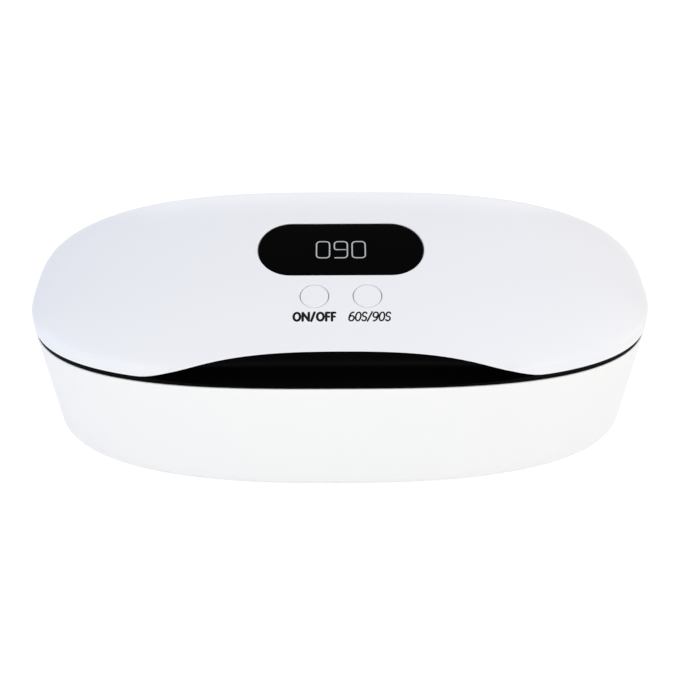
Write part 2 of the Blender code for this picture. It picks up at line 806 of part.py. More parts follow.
def pin_bore(name, parent=BOX):
    """One long bore through both hinges."""
    bm = bmesh.new()
    reach = HINGE_X + LID_KNUCKLE + TUB_KNUCKLE + CUT_OVERRUN
    radius = HINGE_PIN_RADIUS + PIN_GAP
    add_cylinder(bm, (-reach, HINGE_Y, HINGE_Z), radius, 2 * reach, HINGE_SIDES, "X")
    return add_cutter(name, bm, parent)


def make_hinge_pins():
    """A steel pin through each hinge."""
    length = LID_KNUCKLE + 2 * (SLIDE_GAP + TUB_KNUCKLE)
    for side, name in ((-1, "left"), (1, "right")):
        bm = bmesh.new()
        start = side * HINGE_X - length / 2
        add_cylinder(bm, (start, HINGE_Y, HINGE_Z), HINGE_PIN_RADIUS, length, HINGE_SIDES, "X")
        add_part("hinge_pin_" + name, bm, "steel")


def make_feet():
    """Four rubber feet and the screws that they cover."""
    base = FOOT_RECESS + SEAT_GAP
    sizes = (TUB_SCREW_HEAD_RADIUS, TUB_SCREW_HEAD - SEAT_GAP, TUB_SCREW_RADIUS)
    profile = (
        (FOOT_RADIUS - FOOT_EDGE, -FOOT_PROUD),
        (FOOT_RADIUS, FOOT_EDGE - FOOT_PROUD),
        (FOOT_RADIUS, FOOT_THICKNESS - FOOT_PROUD),
    )
    for number, place in enumerate(FOOT_PLACES, 1):
        bm = bmesh.new()
        loft(bm, [at_height(circle(r, FOOT_SIDES, place), z) for r, z in profile])
        add_part("foot_%d" % number, bm, "rubber")
        screw = (*sizes, TUB_SCREW_LENGTH)
        turned_screw("base_screw_%d" % number, place, base, screw, "steel", BOX)


def make_tray():
    """The bright chamber tray, flanged at the top and posted to the tub."""
    outer_inset = TUB_WALL + TRAY_CLEARANCE
    inner_inset = outer_inset + TRAY_WALL
    top = TUB_HEIGHT - COLLAR_SKIRT - SEAT_GAP
    under = top - TRAY_FLANGE_THICKNESS
    flange = TUB_WALL + SEAT_GAP
    floor_top = TRAY_FLOOR_HEIGHT + TRAY_WALL
    outer_steps = TRAY_OUTER_EDGE_STEPS
    outer = edge_rings(TRAY_FLOOR_HEIGHT, TRAY_EDGE_RADIUS, outer_steps, outer_inset)
    outer.append(at_height(tub_ring(under, outer_inset), under))
    outer.append(at_height(tub_ring(under, flange), under))
    inner_radius = TRAY_EDGE_RADIUS - TRAY_WALL
    inner = edge_rings(floor_top, inner_radius, TRAY_EDGE_STEPS, inner_inset)
    inner.append(at_height(tub_ring(top, inner_inset), top))
    inner.append(at_height(tub_ring(top, flange), top))
    bm = bmesh.new()
    loft(bm, outer + inner[::-1])
    tray = add_part("chamber_tray", bm, "bright_tray")
    low = TUB_POST_HEIGHT + SEAT_GAP
    posts, bores = bmesh.new(), bmesh.new()
    for x, y in FOOT_PLACES:
        height = TRAY_FLOOR_HEIGHT + TRAY_WALL / 2 - low
        add_cylinder(posts, (x, y, low), TRAY_POST_RADIUS, height, POST_SIDES)
        depth = TRAY_FLOOR_HEIGHT - low + CUT_OVERRUN
        radius = TUB_SCREW_RADIUS + SCREW_GAP
        add_cylinder(bores, (x, y, low - CUT_OVERRUN), radius, depth, POST_SIDES)
    combine(tray, add_cutter("tray_posts", posts), "UNION")
    combine(tray, add_cutter("tray_bores", bores), "DIFFERENCE")


def make_collar():
    """The black collar: band, finger recess, light wall and seal ledge."""
    wall_in = COLLAR_WALL_INSET + COLLAR_WALL_THICKNESS
    scoop_in = SCOOP_WALL_INSET + COLLAR_WALL_THICKNESS
    ledge = BAND_HEIGHT - SEAT_GAP
    rib = TUB_WALL + SEAT_GAP
    section = (
        (BAND_INSET, 0, BAND_INSET, 0),
        (BAND_INSET, ledge, BAND_INSET, BAND_FRONT_HEIGHT),
        (LEDGE_INSET, ledge, SCOOP_FLOOR_INSET, SCOOP_FLOOR_HEIGHT),
        (COLLAR_WALL_INSET, ledge, SCOOP_BEND_INSET, SCOOP_BEND_HEIGHT),
        (COLLAR_WALL_INSET, COLLAR_WALL_HEIGHT, SCOOP_WALL_INSET, SCOOP_WALL_HEIGHT),
        (wall_in, COLLAR_WALL_HEIGHT, scoop_in, SCOOP_WALL_HEIGHT),
        (wall_in, SEAL_LEDGE_HEIGHT, scoop_in, SEAL_LEDGE_HEIGHT),
        (wall_in + SEAL_LEDGE_WIDTH, SEAL_LEDGE_HEIGHT,
         scoop_in + SEAL_LEDGE_WIDTH, SEAL_LEDGE_HEIGHT),
        (wall_in + SEAL_LEDGE_WIDTH, -COLLAR_SKIRT,
         scoop_in + SEAL_LEDGE_WIDTH, -COLLAR_SKIRT),
        (rib, -COLLAR_SKIRT, rib, -COLLAR_SKIRT),
        (rib, 0, rib, 0),
    )
    bm = bmesh.new()
    loft(bm, [collar_ring(a, b, c, d) for a, b, c, d in section], closed=True)
    collar = add_part("rim_collar", bm, "black_trim")
    bm = bmesh.new()
    x, y = magnet_place()
    low = TUB_HEIGHT - COLLAR_SKIRT
    radius = MAGNET_RADIUS + SLIDE_GAP
    depth = MAGNET_THICKNESS + SEAT_GAP + CUT_OVERRUN
    add_cylinder(bm, (x, y, low - CUT_OVERRUN), radius, depth, POST_SIDES)
    combine(collar, add_cutter("magnet_pocket", bm), "DIFFERENCE")
    bm = bmesh.new()
    add_cylinder(bm, (x, y, low), MAGNET_RADIUS, MAGNET_THICKNESS, POST_SIDES)
    add_part("safety_magnet", bm, "magnet")


def magnet_place():
    """The magnet's plan place, under the recess's back wall."""
    rim = oval_depth(MAGNET_X, HALF_LENGTH, HALF_WIDTH)
    return MAGNET_X, MAGNET_INSET * arch_share(MAGNET_X) - rim


def make_seal():
    """The soft light seal on the collar's ledge."""
    side = (SEAL_LEDGE_WIDTH - SEAL_WIDTH) / 2
    near = COLLAR_WALL_INSET + COLLAR_WALL_THICKNESS + side
    front = SCOOP_WALL_INSET + COLLAR_WALL_THICKNESS + side
    low = SEAL_LEDGE_HEIGHT + SEAT_GAP
    high = low + SEAL_HEIGHT
    section = (
        (near, low, front, low),
        (near, high, front, high),
        (near + SEAL_WIDTH, high, front + SEAL_WIDTH, high),
        (near + SEAL_WIDTH, low, front + SEAL_WIDTH, low),
    )
    bm = bmesh.new()
    loft(bm, [collar_ring(a, b, c, d) for a, b, c, d in section], closed=True)
    add_part("light_seal", bm, "seal")


def make_inlet():
    """The power socket in the tub's back, on its small board."""
    rear = tub_back(INLET_HEIGHT) - INLET_SINK
    bm = bmesh.new()
    add_prism(bm, inlet_outline(0.0), rear - INLET_DEPTH, rear, "Y")
    socket = add_part("inlet_socket", bm, "steel")
    bm = bmesh.new()
    low = rear - INLET_CAVITY
    add_prism(bm, inlet_outline(-INLET_WALL), low, rear + CUT_OVERRUN, "Y")
    combine(socket, add_cutter("inlet_cavity", bm), "DIFFERENCE")
    bm = bmesh.new()
    half_width = INLET_TONGUE_WIDTH / 2
    half_height = INLET_TONGUE_THICKNESS / 2
    add_box(
        bm,
        (-half_width, low - INLET_WALL, INLET_HEIGHT - half_height),
        (half_width, low + INLET_TONGUE_LENGTH, INLET_HEIGHT + half_height),
    )
    combine(socket, add_cutter("inlet_tongue", bm), "UNION")
    bottom = inlet_board_bottom()
    back = inlet_board_rear()
    half_length = INLET_BOARD_LENGTH / 2
    bm = bmesh.new()
    add_box(
        bm,
        (-half_length, back - INLET_BOARD_WIDTH, bottom),
        (half_length, back, bottom + INLET_BOARD_THICKNESS),
    )
    add_part("inlet_board", bm, "board")


def make_lid():
    """The white dome, cut for the arch, the display and the buttons."""
    skirt = TUB_HEIGHT + BAND_HEIGHT
    shoulder = skirt + LID_EDGE_HEIGHT
    outer_oval = oval(LID_HALF_LENGTH, LID_HALF_WIDTH, RIM_SQUARENESS)
    inner_oval = oval(LID_HALF_LENGTH - LID_WALL, LID_HALF_WIDTH - LID_WALL, RIM_SQUARENESS)
    outer = [at_height(outer_oval, skirt), at_height(outer_oval, shoulder)]
    outer += [lid_ring(share) for share in DOME_RING_SHARES]
    inner = [at_height(inner_oval, skirt), at_height(inner_oval, shoulder)]
    inner += [lid_ring(share, LID_WALL) for share in DOME_INNER_SHARES]
    peak = (0, 0, lid_height(0, 0))
    hollow = (0, 0, lid_height(0, 0, LID_WALL))
    bm = bmesh.new()
    loft(bm, outer[::-1] + inner, peak, hollow)
    lid = add_part("lid_shell", bm, "white_shell", LID)
    combine(lid, lid_bosses(), "UNION")
    combine(lid, lid_knuckles(), "UNION")
    combine(lid, display_frame(), "UNION")
    combine(lid, arch_cutter(), "DIFFERENCE")
    combine(lid, display_cutter(), "DIFFERENCE")
    combine(lid, button_cutter(), "DIFFERENCE")
    combine(lid, boss_bores(), "DIFFERENCE")


def lid_bosses():
    """Screw bosses that run up from the panel into the dome's wall."""
    bm = bmesh.new()
    low = PANEL_TOP + SEAT_GAP
    for x, y in PANEL_SCREW_PLACES:
        height = lid_height(x, y) + CUT_OVERRUN - low
        add_cylinder(bm, (x, y, low), PANEL_BOSS_RADIUS, height, POST_SIDES)
    bosses = add_cutter("lid_bosses", bm, LID)
    bm = bmesh.new()
    wall = LID_WALL / 2
    rings = [lid_ring(share, wall) for share in DOME_INNER_SHARES]
    outline = oval(LID_HALF_LENGTH - wall, LID_HALF_WIDTH - wall, RIM_SQUARENESS)
    rings.insert(0, at_height(outline, low - CUT_OVERRUN))
    loft(bm, rings, None, (0, 0, lid_height(0, 0, wall)))
    combine(bosses, add_cutter("dome_core", bm, LID), "INTERSECT")
    return bosses


def boss_bores():
    """Pilot holes up the bosses for the panel's screws."""
    bm = bmesh.new()
    low = PANEL_TOP + SEAT_GAP - CUT_OVERRUN
    depth = PANEL_BOSS_DEPTH + CUT_OVERRUN
    radius = PANEL_SCREW_RADIUS + SCREW_GAP
    for x, y in PANEL_SCREW_PLACES:
        add_cylinder(bm, (x, y, low), radius, depth, POST_SIDES)
    return add_cutter("boss_bores", bm, LID)


def arch_cutter():
    """The space that the front arch takes out of the lid's edge."""
    reach = ARCH_HALF_WIDTH + ARCH_BLEND
    skirt = TUB_HEIGHT + BAND_HEIGHT
    points = [(reach, skirt - CUT_OVERRUN), (-reach, skirt - CUT_OVERRUN)]
    for step in range(ARCH_STEPS + 1):
        x = reach * (2 * step / ARCH_STEPS - 1)
        points.append((x, skirt + ARCH_RISE * arch_share(x)))
    front = -LID_HALF_WIDTH - CUT_OVERRUN
    bm = bmesh.new()
    add_prism(bm, points, front, front + ARCH_DEPTH, "Y")
    return add_cutter("arch_cutter", bm, LID)


def display_outline(grow):
    """The display's plan outline, grown or shrunk all round."""
    length = DISPLAY_LENGTH + 2 * grow
    width = DISPLAY_WIDTH + 2 * grow
    middle = (DISPLAY_X, DISPLAY_Y)
    return pill(length, width, DISPLAY_END + grow, DISPLAY_END_STEPS, middle)


def display_frame():
    """A frame under the dome that stiffens the display's opening."""
    bm = bmesh.new()
    outline = display_outline(DISPLAY_FRAME)
    middle = (DISPLAY_X, DISPLAY_Y)
    bottom = LID_WALL + DISPLAY_FRAME_DEPTH
    dome_slice(bm, outline, middle, LID_WALL / 2, bottom)
    return add_cutter("display_frame", bm, LID)


def display_cutter():
    """The display's recess, with a smaller opening through its floor."""
    middle = (DISPLAY_X, DISPLAY_Y)
    floor = DISPLAY_SINK + DISPLAY_LENS + SEAT_GAP
    bm = bmesh.new()
    dome_slice(bm, display_outline(SLIDE_GAP), middle, -CUT_OVERRUN, floor)
    recess = add_cutter("display_recess", bm, LID)
    bm = bmesh.new()
    bottom = LID_WALL + DISPLAY_FRAME_DEPTH + CUT_OVERRUN
    outline = display_outline(-DISPLAY_LEDGE)
    dome_slice(bm, outline, middle, 0.0, bottom)
    combine(recess, add_cutter("display_opening", bm, LID), "UNION")
    return recess


def button_cutter():
    """Round holes for the two buttons."""
    bm = bmesh.new()
    for x in BUTTON_XS.values():
        outline = circle(BUTTON_RADIUS + SLIDE_GAP, BUTTON_SIDES, (x, BUTTON_Y))
        depth = LID_WALL + CUT_OVERRUN
        dome_slice(bm, outline, (x, BUTTON_Y), -CUT_OVERRUN, depth)
    return add_cutter("button_holes", bm, LID)


def make_display():
    """The smoked display lens and the digit module under it."""
    middle = (DISPLAY_X, DISPLAY_Y)
    bm = bmesh.new()
    bottom = DISPLAY_SINK + DISPLAY_LENS
    dome_slice(bm, display_outline(0.0), middle, DISPLAY_SINK, bottom)
    add_part("display_lens", bm, "lens", LID)
    low = BOARD_TOP + SEAT_GAP
    high = low + MODULE_HEIGHT
    bm = bmesh.new()
    half_length, half_width = MODULE_LENGTH / 2, MODULE_WIDTH / 2
    add_box(
        bm,
        (DISPLAY_X - half_length, DISPLAY_Y - half_width, low),
        (DISPLAY_X + half_length, DISPLAY_Y + half_width, high),
    )
    module = add_part("display_module", bm, "component", LID)
    bm = bmesh.new()
    for number in range(DIGIT_COUNT):
        x = DISPLAY_X + (number - (DIGIT_COUNT - 1) / 2) * DIGIT_PITCH
        add_box(
            bm,
            (x - DIGIT_LENGTH / 2, DISPLAY_Y - DIGIT_WIDTH / 2, high - DIGIT_DEPTH),
            (x + DIGIT_LENGTH / 2, DISPLAY_Y + DIGIT_WIDTH / 2, high + CUT_OVERRUN),
        )
    combine(module, add_cutter("digit_pockets", bm, LID), "DIFFERENCE")


def make_button(name, x):
    """A button with its retaining flange and stem, over its switch."""
    middle = (x, BUTTON_Y)
    pivot = BUTTONS[name]
    bm = bmesh.new()
    outline = circle(BUTTON_RADIUS, BUTTON_SIDES, middle)
    dome_slice(bm, outline, middle, BUTTON_SINK, BUTTON_DEPTH)
    button = add_part("button_" + name, bm, "white_shell", pivot)
    top = LID_WALL + SEAT_GAP
    bottom = top + BUTTON_FLANGE_THICKNESS
    bm = bmesh.new()
    outline = circle(BUTTON_RADIUS + BUTTON_FLANGE, BUTTON_SIDES, middle)
    dome_slice(bm, outline, middle, top, bottom)
    combine(button, add_cutter("flange_" + name, bm, pivot), "UNION")
    bm = bmesh.new()
    low = PLUNGER_TOP + SEAT_GAP
    height = lid_height(*middle) - top - low
    add_cylinder(bm, (*middle, low), BUTTON_STEM_RADIUS, height, POST_SIDES)
    combine(button, add_cutter("stem_" + name, bm, pivot), "UNION")
    make_switch(name, middle, pivot)


def make_switch(name, middle, pivot):
    """A push switch on the board, and its moving plunger."""
    x, y = middle
    half = SWITCH_SIZE / 2
    low = BOARD_TOP + SEAT_GAP
    bm = bmesh.new()
    add_box(bm, (x - half, y - half, low), (x + half, y + half, SWITCH_TOP))
    body = add_part("switch_" + name, bm, "component", LID)
    bottom = SWITCH_TOP - PLUNGER_HIDDEN
    well = bottom - BUTTON_TRAVEL - SLIDE_GAP
    bm = bmesh.new()
    depth = SWITCH_TOP + CUT_OVERRUN - well
    add_cylinder(bm, (x, y, well), PLUNGER_RADIUS + SCREW_GAP, depth, POST_SIDES)
    combine(body, add_cutter("well_" + name, bm, LID), "DIFFERENCE")
    bm = bmesh.new()
    height = PLUNGER_SHOWING + PLUNGER_HIDDEN
    add_cylinder(bm, (x, y, bottom), PLUNGER_RADIUS, height, POST_SIDES)
    add_part("plunger_" + name, bm, "component", pivot)


def panel_outline():
    """The panel's plan outline, drawn in behind the finger recess."""
    scoop = SCOOP_WALL_INSET + COLLAR_WALL_THICKNESS + SEAT_GAP
    side = (SEAL_LEDGE_WIDTH - SEAL_WIDTH) / 2
    ring = collar_ring(PANEL_INSET, 0, scoop + side, 0)
    return [(x, y) for x, y, z in ring]


def make_panel():
    """The bright panel under the dome, with lamp slots and standoffs."""
    outline = panel_outline()
    bm = bmesh.new()
    loft(bm, [at_height(outline, PANEL_BOTTOM), at_height(outline, PANEL_TOP)])
    panel = add_part("lid_panel", bm, "bright_tray", LID)
    posts, holes = bmesh.new(), bmesh.new()
    sunk = PANEL_BOTTOM + PANEL_THICKNESS / 2
    low = PANEL_BOTTOM - CUT_OVERRUN
    pilot = BOARD_SCREW_RADIUS + SCREW_GAP
    standoffs = [(place, BOARD_STANDOFF) for place in BOARD_SCREW_PLACES]
    standoffs += [(place, LAMP_BOARD_STANDOFF) for place in lamp_screw_places()]
    for place, standoff in standoffs:
        height = PANEL_TOP + standoff - sunk
        add_cylinder(posts, (*place, sunk), BOARD_STANDOFF_RADIUS, height, POST_SIDES)
        add_cylinder(holes, (*place, sunk), pilot, height + CUT_OVERRUN, SCREW_SIDES)
    for place in PANEL_SCREW_PLACES:
        radius = PANEL_SCREW_RADIUS + SCREW_GAP
        depth = PANEL_THICKNESS + 2 * CUT_OVERRUN
        add_cylinder(holes, (*place, low), radius, depth, SCREW_SIDES)
    for side in (-1, 1):
        slot = window_outline(side, SLIDE_GAP)
        loft(holes, [at_height(slot, low), at_height(slot, PANEL_TOP + CUT_OVERRUN)])
    combine(panel, add_cutter("panel_posts", posts, LID), "UNION")
    combine(panel, add_cutter("panel_holes", holes, LID), "DIFFERENCE")
    sizes = (PANEL_SCREW_HEAD_RADIUS, PANEL_SCREW_HEAD, PANEL_SCREW_RADIUS)
    base = PANEL_BOTTOM - SEAT_GAP - PANEL_SCREW_HEAD
    for number, place in enumerate(PANEL_SCREW_PLACES, 1):
        screw = (*sizes, PANEL_SCREW_LENGTH)
        turned_screw("panel_screw_%d" % number, place, base, screw, "steel", LID)


def window_outline(side, grow):
    """A lamp window's plan outline, long in Y."""
    width = WINDOW_WIDTH + 2 * grow
    length = WINDOW_LENGTH + 2 * grow
    flat = pill(length, width, width / 2, WINDOW_END_STEPS)
    return [(side * LAMP_X - y, LAMP_MIDDLE_Y + x) for x, y in flat]


def lamp_screw_places(sides=(-1, 1)):
    """Plan places of the lamp boards' screws."""
    half = LAMP_SCREW_PITCH / 2
    ys = (LAMP_MIDDLE_Y - half, LAMP_MIDDLE_Y + half)
    return [(side * LAMP_X, y) for side in sides for y in ys]


def make_lamps(side, name):
    """One lamp board with its lamps, screws and clear window."""
    bm = bmesh.new()
    rings = [at_height(window_outline(side, 0.0), PANEL_BOTTOM)]
    lip = PANEL_TOP + SEAT_GAP
    rings.append(at_height(window_outline(side, 0.0), lip))
    rings.append(at_height(window_outline(side, WINDOW_LIP), lip))
    rings.append(at_height(window_outline(side, WINDOW_LIP), lip + WINDOW_LIP_THICKNESS))
    loft(bm, rings)
    add_part("lamp_window_" + name, bm, "clear", LID)
    x = side * LAMP_X
    half_width, half_length = LAMP_BOARD_WIDTH / 2, LAMP_BOARD_LENGTH / 2
    top = LAMP_BOARD_BOTTOM + LAMP_BOARD_THICKNESS
    bm = bmesh.new()
    add_box(
        bm,
        (x - half_width, LAMP_MIDDLE_Y - half_length, LAMP_BOARD_BOTTOM),
        (x + half_width, LAMP_MIDDLE_Y + half_length, top),
    )
    board = add_part("lamp_board_" + name, bm, "board", LID)
    bm = bmesh.new()
    radius = BOARD_SCREW_RADIUS + SCREW_GAP
    low = LAMP_BOARD_BOTTOM - CUT_OVERRUN
    depth = LAMP_BOARD_THICKNESS + 2 * CUT_OVERRUN
    places = lamp_screw_places((side,))
    for place in places:
        add_cylinder(bm, (*place, low), radius, depth, SCREW_SIDES)
    combine(board, add_cutter("lamp_board_holes_" + name, bm, LID), "DIFFERENCE")
    sizes = (BOARD_SCREW_HEAD_RADIUS, BOARD_SCREW_HEAD, BOARD_SCREW_RADIUS)
    base = top + SEAT_GAP + BOARD_SCREW_HEAD
    for number, place in enumerate(places, 1):
        screw = (*sizes, BOARD_SCREW_LENGTH)
        title = "lamp_screw_%s_%d" % (name, number)
        turned_screw(title, place, base, screw, "steel", LID, up=-1)
    for number in range(LAMP_COUNT):
        y = LAMP_MIDDLE_Y + (number - (LAMP_COUNT - 1) / 2) * LAMP_PITCH
        make_lamp("uv_lamp_%s_%d" % (name, number + 1), x, y)


def make_lamp(name, x, y):
    """A square ultraviolet lamp that hangs under its board."""
    half = LAMP_SIZE / 2
    high = LAMP_BOARD_BOTTOM - SEAT_GAP
    low = high - LAMP_HEIGHT
    bm = bmesh.new()
    add_box(bm, (x - half, y - half, low), (x + half, y + half, high))
    lamp = add_part(name, bm, "lamp", LID)
    bm = bmesh.new()
    depth = LAMP_HEIGHT / 2
    radius = LAMP_DOME_RADIUS
    add_cylinder(bm, (x, y, low - depth), radius, 2 * depth, POST_SIDES)
    combine(lamp, add_cutter("bowl_" + name, bm, LID), "DIFFERENCE")


def make_control_board():
    """The control board with its screws, buzzer and lid sensor."""
    half = BOARD_LENGTH / 2
    bm = bmesh.new()
    add_box(bm, (-half, BOARD_FRONT_Y, BOARD_BOTTOM), (half, BOARD_REAR_Y, BOARD_TOP))
    board = add_part("control_board", bm, "board", LID)
    bm = bmesh.new()
    radius = BOARD_SCREW_RADIUS + SCREW_GAP
    depth = BOARD_THICKNESS + 2 * CUT_OVERRUN
    for place in BOARD_SCREW_PLACES:
        low = BOARD_BOTTOM - CUT_OVERRUN
        add_cylinder(bm, (*place, low), radius, depth, SCREW_SIDES)
    combine(board, add_cutter("board_holes", bm, LID), "DIFFERENCE")
    sizes = (BOARD_SCREW_HEAD_RADIUS, BOARD_SCREW_HEAD, BOARD_SCREW_RADIUS)
    base = BOARD_TOP + SEAT_GAP + BOARD_SCREW_HEAD
    for number, place in enumerate(BOARD_SCREW_PLACES, 1):
        screw = (*sizes, BOARD_THICKNESS + BOARD_STANDOFF)
        turned_screw("board_screw_%d" % number, place, base, screw, "steel", LID, up=-1)
    low = BOARD_TOP + SEAT_GAP
    profile = (
        (BUZZER_RADIUS, low),
        (BUZZER_RADIUS, low + BUZZER_HEIGHT),
        (BUZZER_HOLE, low + BUZZER_HEIGHT),
        (BUZZER_HOLE, low + BUZZER_HEIGHT / 2),
    )
    place = (BUZZER_X, BUZZER_Y)
    bm = bmesh.new()
    loft(bm, [at_height(circle(r, FOOT_SIDES, place), z) for r, z in profile])
    add_part("buzzer", bm, "component", LID)
    bm = bmesh.new()
    start = (MAGNET_X - REED_LENGTH / 2, BOARD_FRONT_Y + REED_INSET, low + REED_RADIUS)
    add_cylinder(bm, start, REED_RADIUS, REED_LENGTH, REED_SIDES, "X")
    add_part("lid_sensor", bm, "clear", LID)


make_tub()
make_hinge_pins()
make_feet()
make_tray()
make_collar()
make_seal()
make_inlet()
make_lid()
make_display()
for button_name, button_x in BUTTON_XS.items():
    make_button(button_name, button_x)
make_panel()
make_lamps(-1, "left")
make_lamps(1, "right")
make_control_board()
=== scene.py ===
import math

import bmesh
import bpy
from mathutils import Matrix, Vector


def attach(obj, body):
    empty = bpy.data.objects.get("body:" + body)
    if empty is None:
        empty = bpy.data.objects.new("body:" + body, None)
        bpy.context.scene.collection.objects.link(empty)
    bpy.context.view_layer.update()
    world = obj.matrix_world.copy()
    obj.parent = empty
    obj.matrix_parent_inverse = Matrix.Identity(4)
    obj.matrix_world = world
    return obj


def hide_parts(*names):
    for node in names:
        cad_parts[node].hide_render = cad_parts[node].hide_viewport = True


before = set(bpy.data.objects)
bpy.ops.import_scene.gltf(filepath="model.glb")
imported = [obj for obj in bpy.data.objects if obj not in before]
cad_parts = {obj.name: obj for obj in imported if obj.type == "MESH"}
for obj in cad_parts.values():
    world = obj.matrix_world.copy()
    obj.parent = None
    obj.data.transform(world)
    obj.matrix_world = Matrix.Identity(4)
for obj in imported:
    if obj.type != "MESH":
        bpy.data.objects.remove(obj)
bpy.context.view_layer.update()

# Tub. The white lower shell is one injection moulding in satin ABS: a tapered
# oval with a rounded lower edge, posts for the screws on its floor, recesses
# for the feet and the outer knuckles of both hinges.
MM = 0.001
FULL_TURN = 2 * math.pi
QUARTER_TURN = math.pi / 2
# Where the middle of the tub's underside lies in the frame.
BOX_PLACE = Vector((0.0, -2.7, 1.1)) * MM
HALF_LENGTH = 120.0 * MM
HALF_WIDTH = 55.0 * MM
RIM_SQUARENESS = 3.0
FLOOR_SQUARENESS = 2.5
# How far the sides draw in with depth, and how many times that the ends do.
SIDE_DRAFT_SHARE = 0.045
END_DRAFT_SHARE = 1.17
TUB_HEIGHT = 54.0 * MM
TUB_WALL = 2.2 * MM
TUB_EDGE_RADIUS = 5.0 * MM
TUB_EDGE_STEPS = 10
TUB_WALL_STEPS = 8
RIM_GAP = 0.3 * MM
RIM_ROUNDING = 0.4 * MM
RIM_STEPS = 4
QUARTER_POINTS = 60
DENSE_POINTS = 1200
# Points are spread round the rim by its length and, for this share, by its turn.
BEND_SHARE = 0.25
SMOOTH_ANGLE = math.radians(35.0)
WELD_DISTANCE = 0.0001 * MM
CUT_OVERRUN = 2.0 * MM
SLIDE_GAP = 0.25 * MM
# A small rounding is three points. The middle one lies this share from both ends.
CORNER_SHARE = 0.3
FOOT_RADIUS = 6.0 * MM
FOOT_RECESS = 1.4 * MM
FOOT_PLACES = [(x * MM, y * MM) for x in (-76.0, 76.0) for y in (-28.0, 28.0)]
SCREW_POCKET_RADIUS = 3.05 * MM
SCREW_POCKET_ROOF = 3.4 * MM
POST_RADIUS = 4.6 * MM
POST_HEIGHT = 9.0 * MM
POST_BORE = 1.55 * MM
INLET_POST_PLACES = [(-7.0 * MM, 36.67 * MM), (7.0 * MM, 36.67 * MM)]
INLET_POST_RADIUS = 2.4 * MM
INLET_POST_HEIGHT = 5.6 * MM
ROUND_SIDES = 48
HINGE_X = 38.0 * MM
HINGE_Y = 58.0 * MM
HINGE_Z = 55.0 * MM
HINGE_RADIUS = 2.4 * MM
PIN_BORE = 1.08 * MM
LID_KNUCKLE = 7.4 * MM
TUB_KNUCKLE = 6.0 * MM
KNUCKLE_ROUNDING = 0.35 * MM
KNUCKLE_STEPS = 28
TUB_ROOT_Y = 52.8 * MM
TUB_ROOT_HIGH = 53.4 * MM
TUB_ROOT_LOW = 47.5 * MM
INLET_HEIGHT = 9.0 * MM
INLET_WIDTH = 8.9 * MM
INLET_THICKNESS = 3.2 * MM
INLET_END_STEPS = 12


def colour(code):
    """Turn an sRGB hex code into linear red, green, blue and alpha."""
    channels = [int(code[place:place + 2], 16) / 255 for place in (1, 3, 5)]
    linear = [
        value / 12.92 if value <= 0.04045 else ((value + 0.055) / 1.055) ** 2.4
        for value in channels
    ]
    return (*linear, 1.0)


def add_node(tree, kind, inputs, **settings):
    """Add a node with its settings, and fill or link its sockets."""
    node = tree.nodes.new("ShaderNode" + kind)
    for name, value in settings.items():
        setattr(node, name, value)
    for key, value in inputs.items():
        if isinstance(value, bpy.types.NodeSocket):
            tree.links.new(value, node.inputs[key])
        else:
            node.inputs[key].default_value = value
    return node


def blank_tree(owner):
    """The emptied node tree of a material or of the world."""
    owner.use_nodes = True
    owner.node_tree.nodes.clear()
    return owner.node_tree


# The Mix node's sockets for colours, which share their names with others.
MIX_FACTOR, MIX_FIRST, MIX_SECOND, MIX_RESULT = 0, 6, 7, 2


def surface(name, tones, tone_size, ripple_size, ripple_depth, roughness, fixed):
    """A material whose tone drifts over tone_size and whose gloss is rippled.

    roughness holds its lowest and highest value. What is the same all over the
    surface stands in fixed and goes straight to the shader.
    """
    material = bpy.data.materials.new(name)
    tree = blank_tree(material)
    place = add_node(tree, "TexCoord", {}).outputs["Object"]
    drift = add_node(
        tree, "TexNoise", {"Vector": place, "Scale": 1 / tone_size, "Detail": 3.0}
    )
    tone = add_node(
        tree, "Mix",
        {
            MIX_FACTOR: drift.outputs["Fac"],
            MIX_FIRST: colour(tones[0]),
            MIX_SECOND: colour(tones[1]),
        },
        data_type="RGBA",
    )
    ripple = add_node(
        tree, "TexNoise", {"Vector": place, "Scale": 1 / ripple_size, "Detail": 2.0}
    )
    gloss = add_node(
        tree, "MapRange",
        {"Value": ripple.outputs["Fac"], "To Min": roughness[0], "To Max": roughness[1]},
    )
    bump = add_node(
        tree, "Bump", {"Height": ripple.outputs["Fac"], "Distance": ripple_depth}
    )
    shader = add_node(
        tree, "BsdfPrincipled",
        {
            "Base Color": tone.outputs[MIX_RESULT],
            "Roughness": gloss.outputs["Result"],
            "Normal": bump.outputs["Normal"],
            **fixed,
        },
    )
    add_node(tree, "OutputMaterial", {"Surface": shader.outputs["BSDF"]})
    return material


def mix(first, second, share):
    """A value that lies a share of the way from first to second."""
    return first + (second - first) * share


def bend(radius, steps):
    """Points along a rounded corner, as their distances from its two faces."""
    for step in range(steps + 1):
        angle = QUARTER_TURN * step / steps
        yield radius * (1 - math.sin(angle)), radius * (1 - math.cos(angle))


